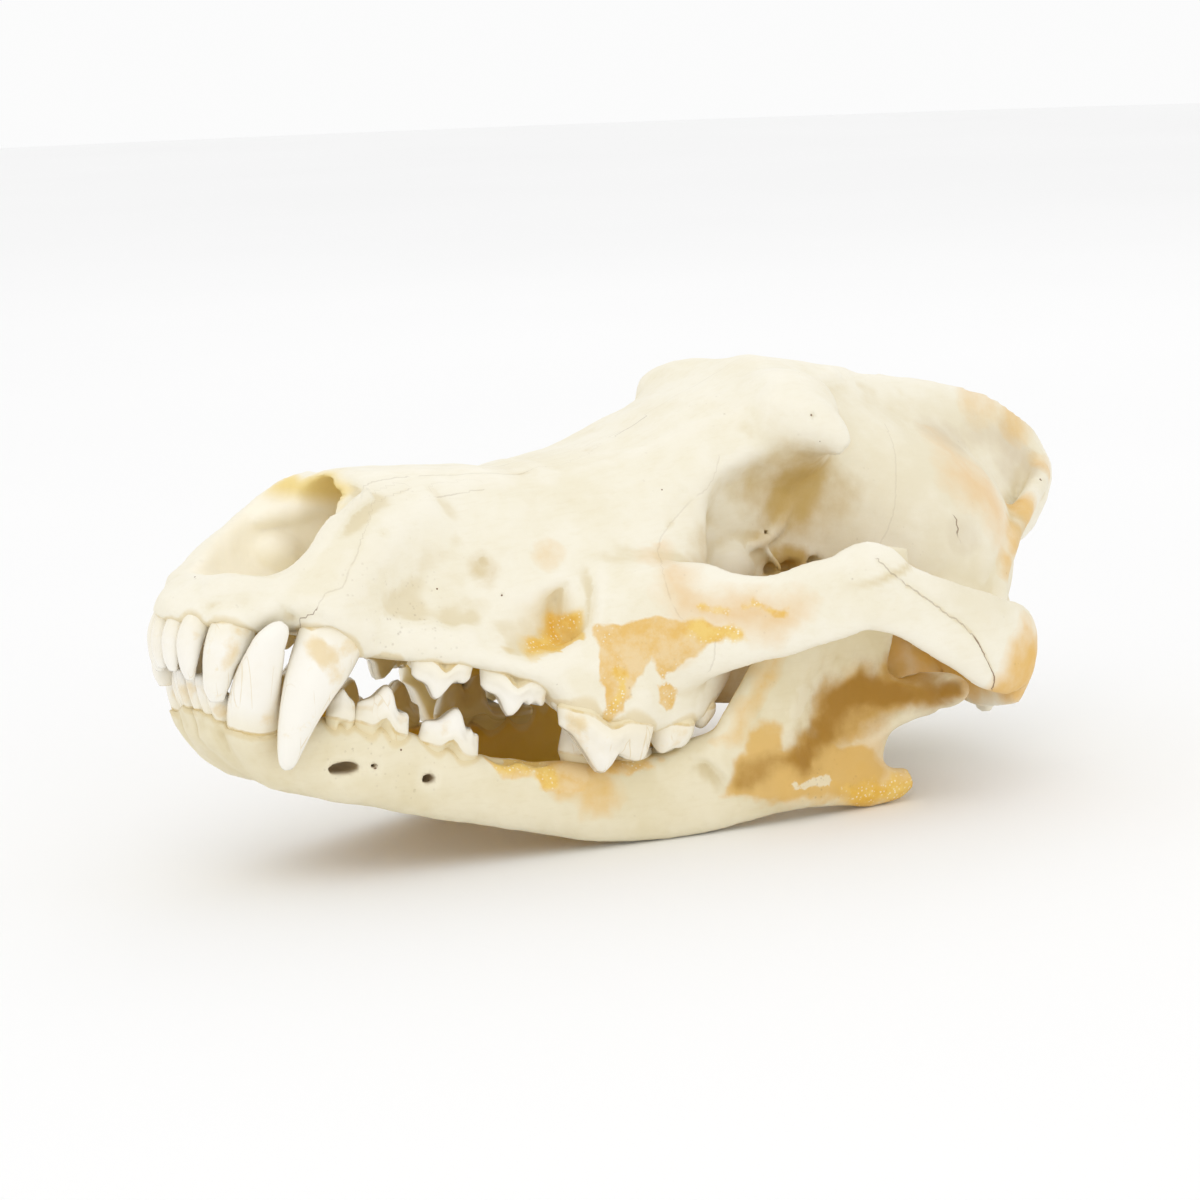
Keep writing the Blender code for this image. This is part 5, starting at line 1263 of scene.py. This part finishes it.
def make_mandible(side, field, values, hollows, look):
    """One half of the lower jaw from the right half's distances; the left one is its mirror image."""
    left = side == "left"
    points, quads = field.surface(values)
    gum = eased_step(1.8, 0.3, field.read(hollows["teeth"], points))
    pits = eased_step(0.45, -0.5, field.read(hollows["pits"], points))
    if left:
        points, quads = points * (1, -1, 1), quads[:, ::-1]
    points = carved(points, quads, [], [], [], 11 if left else 17)
    skyward = outward(points, quads)
    masks = mandible_stains(points, left)
    masks["gum"], masks["pits"] = gum, pits
    # The hollow mask: above nought it sets painted shade, below nought a painted highlight.
    masks["hollow"] = hollowness(points, quads, skyward, 10, 0.3)
    # Painted shade: the mouth mask keeps the jaw's inner faces behind the front teeth.
    inward = skyward[:, 1] if left else -skyward[:, 1]
    masks["mouth"] = eased_step(0.15, 0.75, inward) * eased_step(26, 44, points[:, 0])
    return piece("mandible_%s_bone" % side, points, quads.tolist(), masks, look,
                 "mandible_" + side)


# Stains on the left teeth: x, y, z, radius and strength
TOOTH_STAINS = [
    (28.5, -25.5, 3.0, 5.0, 0.8), (31.0, -26.0, -2.0, 4.0, 0.5), (35, -25, 4, 4, 0.6),
    (9.6, -15.6, -1.0, 3.6, 0.6), (12, -16, 4, 3, 0.5), (4.0, -9.6, 3.0, 2.4, 0.6),
    (88.5, -39, -9.5, 4.2, 0.65), (92, -40, -12, 3, 0.4),
    (20.0, -17.5, -14.5, 4.2, 0.5), (24, -18, -10, 3, 0.35), (12.6, -10.5, -14, 3, 0.6), (9, -6, -13, 3, 0.6),
    (8, -2, -12, 3, 0.55), (62, -26, -12, 3, 0.4), (72, -27, -15, 2.6, 0.45), (52, -23, -12, 2.6, 0.4),
    (66, -27, 0, 2.4, 0.35), (85, -31, -3, 2.6, 0.4), (118, -41, -9, 4, 0.4), (128, -38, -4, 3, 0.4)]


def make_teeth(name, teeth, look):
    """One piece of all the crowns of a jaw. Its masks are each point's height above its own gum line, its
    stains, and how far it faces the inside of the mouth, which sets the painted shade there."""
    points, faces, crown, inner, root = [], [], [], [], 0
    for _, ((places, tris, quads), height) in teeth:
        faces += (tris + root).tolist() + (quads + root).tolist()
        points.append(places)
        crown.append(height)
        side = np.sign(places[:, 1].mean())
        front = 0.0 if places[:, 0].mean() < 22 else 1.0
        inner.append(front * eased_step(0.1, 0.8, -side * outward(places, quads)[:, 1]))
        root += len(places)
    points = np.concatenate(points)
    masks = {"crown": np.concatenate(crown), "inner": np.concatenate(inner),
             "worn": spot(wandered(points, 21), both_ways(TOOTH_STAINS))}
    return piece(name, points, faces, masks, look)


# Finishes
def shader_of(material):
    """A material's tree and its surface shader."""
    return Tree(material.node_tree), material.node_tree.nodes["Principled BSDF"]


def holes_of(t, place, rows, pin_hole):
    """The darkest of the small holes at each place."""
    total = 0.0
    for x, y, z, radius in rows:
        centre = tuple(at_rest([(x, y, z)])[0])
        one = use(t, pin_hole, {"Place": place, "Centre": centre, "Radius": radius * MM})["Mask"]
        total = one if total == 0.0 else t.sum_of("MAXIMUM", total, one)
    return total


def bone_look(name, groups, tones, holes, has_seams):
    """Dry bone: cloudy ivory, stains in ragged patches, spongy bone in the ochre ones, seams, and holes
    painted dark as their shade; painted shade in hollows, orbits, mouth and deep in the nose, painted light
    on the nose's walls and painted highlight on raised edges.
    """
    look = bpy.data.materials.new(name)
    look.use_nodes = True
    t, shader = shader_of(look)
    place = t.node("ShaderNodeTexCoord").outputs["Object"]
    pored = t.sum_of("ADD", 0.2, t.sum_of("MULTIPLY", t.attribute("pitted"), 0.3))
    grain = use(t, groups["grain"], {"Place": place, "Pore Amount": pored})

    def stain(mask, ragged, lump, soft):
        """A stain's share of the surface."""
        inputs = {"Place": place, "Strength": t.attribute(mask), "Ragged": ragged, "Lump Size": lump,
                  "Softness": soft}
        return use(t, groups["stain"], inputs)["Mask"]

    colour = t.blend(t.step(grain["Cloud"], 0.35, 0.68), tones["light"], tones["dark"])
    colour = t.blend(t.sum_of("MULTIPLY", t.step(grain["Streak"], 0.45, 0.75), 0.10), colour, tones["shade"])
    # Painted shade: the skin's hollows darkened towards the shade tone.
    hollow = t.step(t.attribute("hollow"), 0.05, 0.9)
    colour = t.blend(t.sum_of("MULTIPLY", hollow, 0.55), colour, tones["shade"])
    # Painted highlight: raised edges lightened towards the edge tone.
    edge_highlight = t.step(t.attribute("hollow"), -0.15, -0.9)
    colour = t.blend(t.sum_of("MULTIPLY", edge_highlight, 0.35), colour, tones["edge"])
    if has_seams:
        # Painted light: the nose's inner walls lighter than the bone, as though well lit.
        colour = t.blend(t.sum_of("MULTIPLY", t.attribute("nose"), 0.9), colour, NOSE_LIT_TONE)
        # Painted shade: amber high up and far in, under the roof of the nose.
        colour = t.blend(t.sum_of("MULTIPLY", t.attribute("nose_deep"), 0.9), colour, NOSE_DEEP_SHADE)
        # Painted shade on the orbit's wall.
        orbit_wall_shade = t.sum_of("MULTIPLY", t.attribute("orbit"), t.step(grain["Cloud"], 0.3, 0.7, 0.5, 0.85))
        colour = t.blend(orbit_wall_shade, colour, ORBIT_SHADE_TONE)
        temple = t.sum_of("MULTIPLY", t.attribute("temple"), t.step(grain["Cloud"], 0.3, 0.65, 0.25, 0.75))
        colour = t.blend(temple, colour, TEMPLE_TONE)
    # Painted shade: the mouth's brown on the palate, the throat and the jaw's inner faces.
    colour = t.blend(t.sum_of("MULTIPLY", t.attribute("mouth"), 0.95), colour, MOUTH_SHADE_TONE)
    for mask, ragged, lump, soft, tone, most in STAIN_LOOKS:
        colour = t.blend(t.sum_of("MULTIPLY", stain(mask, ragged, lump, soft), most), colour, tone)
    sponge = use(t, groups["sponge"], {"Place": place, "Ground": OCHRE_GROUND, "Deep": OCHRE_DEEP,
                                       "Grain": OCHRE_GRAIN})
    open_bone = stain("ochre", 0.32, 0.0032, 0.10)
    colour = t.blend(t.sum_of("MULTIPLY", open_bone, 0.94), colour, sponge["Colour"])
    floor_bone = stain("canal", 0.5, 0.0045, 0.3)
    floor_tone = CANAL_TONE if has_seams else FOSSA_TONE
    colour = t.blend(t.sum_of("MULTIPLY", floor_bone, 0.85), colour, floor_tone)
    # Umber: brown stain and painted shade, laid out by the stain masks.
    colour = t.blend(t.sum_of("MULTIPLY", stain("umber_and_shade", 0.7, 0.006, 0.6), 0.92), colour, tones["umber_and_shade"])
    bright = stain("vivid", 0.75, 0.0028, 0.3)
    grains = use(t, groups["sponge"], {"Place": place, "Ground": VIVID_TONE, "Deep": VIVID_DEEP,
                                       "Grain": OCHRE_GRAIN, "Grain Share": 0.14})
    colour = t.blend(t.sum_of("MULTIPLY", bright, 0.9), colour, grains["Colour"])
    colour = t.blend(t.sum_of("MULTIPLY", stain("pale", 0.9, 0.0024, 0.10), 0.8), colour, tones["light"])
    gum = t.sum_of("MULTIPLY", t.step(t.attribute("gum"), 0.35, 1.0), 0.5)
    colour = t.blend(gum, colour, GUM_TONE)
    # Painted shade: small holes, pits and pores darkened; the seam lines added below are dark joints.
    dark = t.sum_of("MAXIMUM", holes_of(t, place, holes, groups["hole"]), t.attribute("pits"))
    dark = t.sum_of("MAXIMUM", dark, t.sum_of("MULTIPLY", grain["Pores"], 0.28))
    if has_seams:
        line = use(t, groups["line"], {
            "Place": place, "Distance": t.attribute("seam"), "Past End": t.attribute("seam_end"),
            "Force": t.attribute("seam_force")})["Mask"]
        dark = t.sum_of("MAXIMUM", dark, t.sum_of("MULTIPLY", line, 0.8))
    colour = t.blend(dark, colour, HOLE_SHADE_AND_SEAM_TONE)
    height = t.sum_of("SUBTRACT", grain["Height"], t.sum_of("MULTIPLY", dark, 1.6))
    spongy = t.sum_of("MULTIPLY", open_bone, sponge["Height"])
    height = t.sum_of("ADD", height, t.sum_of("MULTIPLY", spongy, 2.2))
    bump = t.node("ShaderNodeBump", {"Height": height, "Strength": 0.35, "Distance": 0.00022})
    rough = t.step(grain["Cloud"], 0.3, 0.7, 0.42, 0.56)
    rough = t.sum_of("ADD", rough, t.sum_of("MULTIPLY", open_bone, 0.12))
    t.put(shader.inputs["Base Color"], colour)
    t.put(shader.inputs["Roughness"], rough)
    t.put(shader.inputs["Normal"], bump.outputs["Normal"])
    shader.inputs["Specular IOR Level"].default_value = 0.35
    return look


def enamel_look(groups):
    """Enamel over a yellower root: the masks of height above the gum set the two apart, with faint stains,
    and painted shade on the roots deep below the gum and on the faces towards the inside of the mouth.
    """
    look = bpy.data.materials.new("tooth enamel")
    look.use_nodes = True
    t, shader = shader_of(look)
    place = t.node("ShaderNodeTexCoord").outputs["Object"]
    grain = use(t, groups["grain"], {"Place": place, "Pore Amount": 0.0})
    crown = t.attribute("crown")
    waver = t.sum_of("MULTIPLY", t.sum_of("SUBTRACT", t.noise(place, 0.003, 3.0), 0.5), 0.9)
    above = t.sum_of("ADD", crown, waver)
    enamel = t.step(above, -0.35, 0.35)
    white = t.blend(t.step(above, 0.5, 6.0), ENAMEL_LOW, ENAMEL_HIGH)
    cloud = t.step(grain["Cloud"], 0.42, 0.72)
    white = t.blend(t.sum_of("MULTIPLY", cloud, 0.45), white, ENAMEL_STAIN)
    spots = t.step(t.noise(place, 0.0058, 4.0, 0.7), 0.60, 0.76)
    white = t.blend(t.sum_of("MULTIPLY", spots, 0.5), white, ENAMEL_SPOT)
    worn = use(t, groups["stain"], {"Place": place, "Strength": t.attribute("worn"), "Ragged": 0.8,
                                    "Lump Size": 0.0026, "Softness": 0.35})["Mask"]
    white = t.blend(t.sum_of("MULTIPLY", worn, 0.7), white, ENAMEL_WORN)
    colour = t.blend(enamel, ROOT_TONE, white)
    rim = t.sum_of("SUBTRACT", 1.0, t.step(t.sum_of("ABSOLUTE", above), 0.10, 0.55))
    rim = t.sum_of("MULTIPLY", rim, t.step(t.noise(place, 0.004), 0.35, 0.65, 0.15, 0.7))
    colour = t.blend(rim, colour, GUM_LINE)
    # Painted shade on the roots deep below the gum.
    deep_root_shade = t.step(crown, -1.0, -4.5)
    colour = t.blend(t.sum_of("MULTIPLY", deep_root_shade, 0.6), colour, MOUTH_SHADE_TONE)
    # Painted shade on the faces that look into the mouth.
    colour = t.blend(t.sum_of("MULTIPLY", t.attribute("inner"), 0.8), colour, INNER_SHADE_TONE)
    drawn = t.stretched(place, (1.0, 1.0, 0.10), (0.0, -0.1, 0.0))
    cracks = t.cells(drawn, 1 / 230, "DISTANCE_TO_EDGE")
    crack = t.sum_of("SUBTRACT", 1.0, t.step(cracks, 0.004, 0.022))
    crack = t.sum_of("MULTIPLY", crack, t.step(t.noise(place, 0.012), 0.52, 0.62))
    colour = t.blend(t.sum_of("MULTIPLY", crack, 0.35), colour, GUM_LINE)
    height = t.sum_of("SUBTRACT", t.sum_of("MULTIPLY", grain["Streak"], 0.35),
                      t.sum_of("MULTIPLY", crack, 0.5))
    height = t.sum_of("ADD", height, t.sum_of("MULTIPLY", enamel, 0.9))
    bump = t.node("ShaderNodeBump", {"Height": height, "Strength": 0.3, "Distance": 0.0002})
    t.put(shader.inputs["Base Color"], colour)
    t.put(shader.inputs["Roughness"], t.step(enamel, 0.0, 1.0, 0.5, 0.17))
    t.put(shader.inputs["Normal"], bump.outputs["Normal"])
    shader.inputs["Specular IOR Level"].default_value = 0.5
    return look


# Colours, as linear red, green and blue
# shade tints the grain's streaks and is the painted shade of the hollows; edge is the painted highlight of
# raised edges; umber is brown stain and painted shade.
CRANIUM_TONES = {"light": (0.91, 0.865, 0.725), "dark": (0.87, 0.81, 0.635), "shade": (0.70, 0.58, 0.33),
                 "edge": (0.94, 0.90, 0.79), "umber_and_shade": (0.56, 0.37, 0.085)}
# The jaw's tones are darker and yellower than the skull's: painted shade, for the lower jaw lies further
# below the light.
JAW_SHADED_TONES = {"light": (0.84, 0.765, 0.565), "dark": (0.78, 0.69, 0.46), "shade": (0.60, 0.47, 0.22),
             "edge": (0.90, 0.84, 0.66), "umber_and_shade": (0.36, 0.17, 0.005)}
# Painted light inside the nose, and painted shade high up and far in.
NOSE_LIT_TONE = (0.98, 0.92, 0.76)
NOSE_DEEP_SHADE = (0.88, 0.68, 0.24)
# Painted shade in the orbit.
ORBIT_SHADE_TONE = (0.70, 0.58, 0.33)
TEMPLE_TONE = (0.80, 0.725, 0.535)
# Painted shade inside the mouth.
MOUTH_SHADE_TONE = (0.76, 0.46, 0.012)
CANAL_TONE = (0.80, 0.55, 0.14)
FOSSA_TONE = (0.72, 0.44, 0.10)
VIVID_TONE = (0.88, 0.62, 0.17)
VIVID_DEEP = (0.80, 0.46, 0.05)
OCHRE_GROUND = (0.84, 0.63, 0.33)
OCHRE_DEEP = (0.80, 0.50, 0.13)
OCHRE_GRAIN = (0.99, 0.94, 0.77)
GUM_TONE = (0.72, 0.56, 0.26)
# Painted shade in holes, pits and pores, and the dark of the seams.
HOLE_SHADE_AND_SEAM_TONE = (0.16, 0.06, 0.015)
ENAMEL_LOW = (0.92, 0.87, 0.73)
ENAMEL_HIGH = (0.95, 0.92, 0.84)
ENAMEL_STAIN = (0.86, 0.77, 0.56)
ENAMEL_SPOT = (0.86, 0.72, 0.44)
ENAMEL_WORN = (0.80, 0.60, 0.27)
# Painted shade on the teeth's inner faces.
INNER_SHADE_TONE = (0.66, 0.47, 0.11)
ROOT_TONE = (0.84, 0.74, 0.50)
GUM_LINE = (0.68, 0.48, 0.15)
# Mask, how ragged, lump size in m, softness, colour and the most of it
STAIN_LOOKS = [
    ("slate", 0.6, 0.005, 0.80, (0.58, 0.46, 0.30), 0.6),
    ("rose", 0.6, 0.006, 0.60, (0.82, 0.58, 0.30), 0.95),
    ("amber", 0.6, 0.005, 0.75, (0.78, 0.44, 0.05), 0.95),
]


def build():
    """Makes the looks, then the three bones and the three rows of teeth."""
    groups = {"grain": bone_grain_group(), "stain": ragged_stain_group(), "line": fine_line_group(),
              "hole": pin_hole_group(), "sponge": porous_bone_group()}
    bone = bone_look("skull bone", groups, CRANIUM_TONES, PIN_HOLES, True)
    # The jaw's bone is the skull's look in darker tones, as painted shade.
    jaw_bone = bone_look("jaw bone", groups, JAW_SHADED_TONES, JAW_PIN_HOLES, False)
    enamel = enamel_look(groups)
    make_cranium(bone)
    upper = upper_teeth()
    sides = list(upper)
    sides += [(tooth, (flipped(body), height)) for tooth, (body, height) in upper if tooth != "P1"]
    make_teeth("upper_teeth", sides, enamel)
    field = Field(MANDIBLE_BOX, MANDIBLE_CELL)
    values, hollows = mandible_bone(field)
    lower = lower_teeth()
    for side in ("left", "right"):
        worn = lost_tooth(field, values) if side == "left" else values
        make_mandible(side, field, worn, hollows, jaw_bone)
        row = [(tooth, body) for tooth, body in lower if side == "right" or tooth != "p4"]
        if side == "left":
            row = [(tooth, (flipped(body), height)) for tooth, (body, height) in row]
        make_teeth("lower_teeth_" + side, row, enamel)


# Floor, lights and camera; a light's name, place, width, power and colour
FLOOR_RADIUS = 4.0
WORLD_STRENGTH = 0.97
LIGHT_AIM = (0, 0, 0.05)
LIGHTS = [("key", (-0.75, -0.75, 1.35), 1.1, 2.1, (1.0, 0.985, 0.95)),
          ("fill", (-0.2, -1.6, 0.55), 1.0, 0.8, (1.0, 1.0, 1.0)),
          ("back", (0.9, 0.9, 1.2), 1.0, 1.0, (1.0, 1.0, 1.0))]


def floor_of(radius):
    """A round pale floor: rings of points at growing radii, closed in the middle."""
    u = np.linspace(0, 2 * np.pi, 96, endpoint=False)
    r = radius * np.linspace(0.02, 1, 24) ** 1.5
    grid = np.stack([r[:, None] * np.cos(u), r[:, None] * np.sin(u), 0 * r[:, None] + 0 * u], -1)
    around = grid.shape[1]
    i, j = np.arange(len(grid) - 1)[:, None] * around, np.arange(around)[None, :]
    n = (j + 1) % around
    quads = np.stack([i + j, i + around + j, i + around + n, i + n], -1).reshape(-1, 4)
    mesh = bpy.data.meshes.new("floor")
    mesh.from_pydata(grid.reshape(-1, 3).tolist(), [], quads.tolist() + [list(range(around))])
    mesh.update()
    made = bpy.data.objects.new("floor", mesh)
    bpy.context.scene.collection.objects.link(made)
    look = bpy.data.materials.new("pale floor")
    look.use_nodes = True
    t, shader = shader_of(look)
    place = t.node("ShaderNodeTexCoord").outputs["Object"]
    colour = t.blend(t.noise(place, 0.4, 2.0), (0.93, 0.93, 0.93), (0.96, 0.96, 0.96))
    t.put(shader.inputs["Base Color"], colour)
    shader.inputs["Roughness"].default_value = 0.9
    mesh.materials.append(look)


def soft_light(name, place, size, power, colour):
    """A round area light that faces the skull."""
    lamp = bpy.data.lights.new(name, "AREA")
    lamp.shape = "DISK"
    lamp.size = size
    lamp.energy = power
    lamp.color = colour
    made = bpy.data.objects.new(name, lamp)
    made.location = place
    made.rotation_euler = (Vector(place) - Vector(LIGHT_AIM)).to_track_quat("Z", "Y").to_euler()
    bpy.context.scene.collection.objects.link(made)


def studio():
    """A plain pale floor and world, and three soft lights."""
    floor_of(FLOOR_RADIUS)
    for light in LIGHTS:
        soft_light(*light)
    world = bpy.data.worlds.new("pale studio")
    world.use_nodes = True
    background = world.node_tree.nodes["Background"]
    background.inputs["Color"].default_value = (1, 1, 1, 1)
    background.inputs["Strength"].default_value = WORLD_STRENGTH
    bpy.context.scene.world = world
    bpy.context.scene.view_settings.view_transform = "Standard"


def camera():
    """The photograph's view: turned from the side towards the nose, a little above, and rolled."""
    turn, rise, roll = (math.radians(angle) for angle in (CAMERA_TURN, CAMERA_RISE, CAMERA_ROLL))
    back = Vector((-math.sin(turn) * math.cos(rise), -math.cos(turn) * math.cos(rise), math.sin(rise)))
    right = Vector((math.cos(turn), -math.sin(turn), 0))
    up = back.cross(right)
    across = math.cos(roll) * right + math.sin(roll) * up
    high = math.cos(roll) * up - math.sin(roll) * right
    tipped = Matrix.Rotation(math.radians(REST_PITCH), 3, "Y")
    axes = tipped @ Matrix((across, high, back)).transposed()
    lens = bpy.data.cameras.new("photo view")
    lens.lens = LENS
    lens.sensor_width = 36
    lens.clip_end = 50
    made = bpy.data.objects.new("photo view", lens)
    eye = at_rest([Vector(CAMERA_AIM) + back * CAMERA_REACH])[0]
    made.matrix_world = Matrix.Translation(eye) @ axes.to_4x4()
    bpy.context.scene.collection.objects.link(made)
    bpy.context.scene.camera = made


build()
studio()
camera()
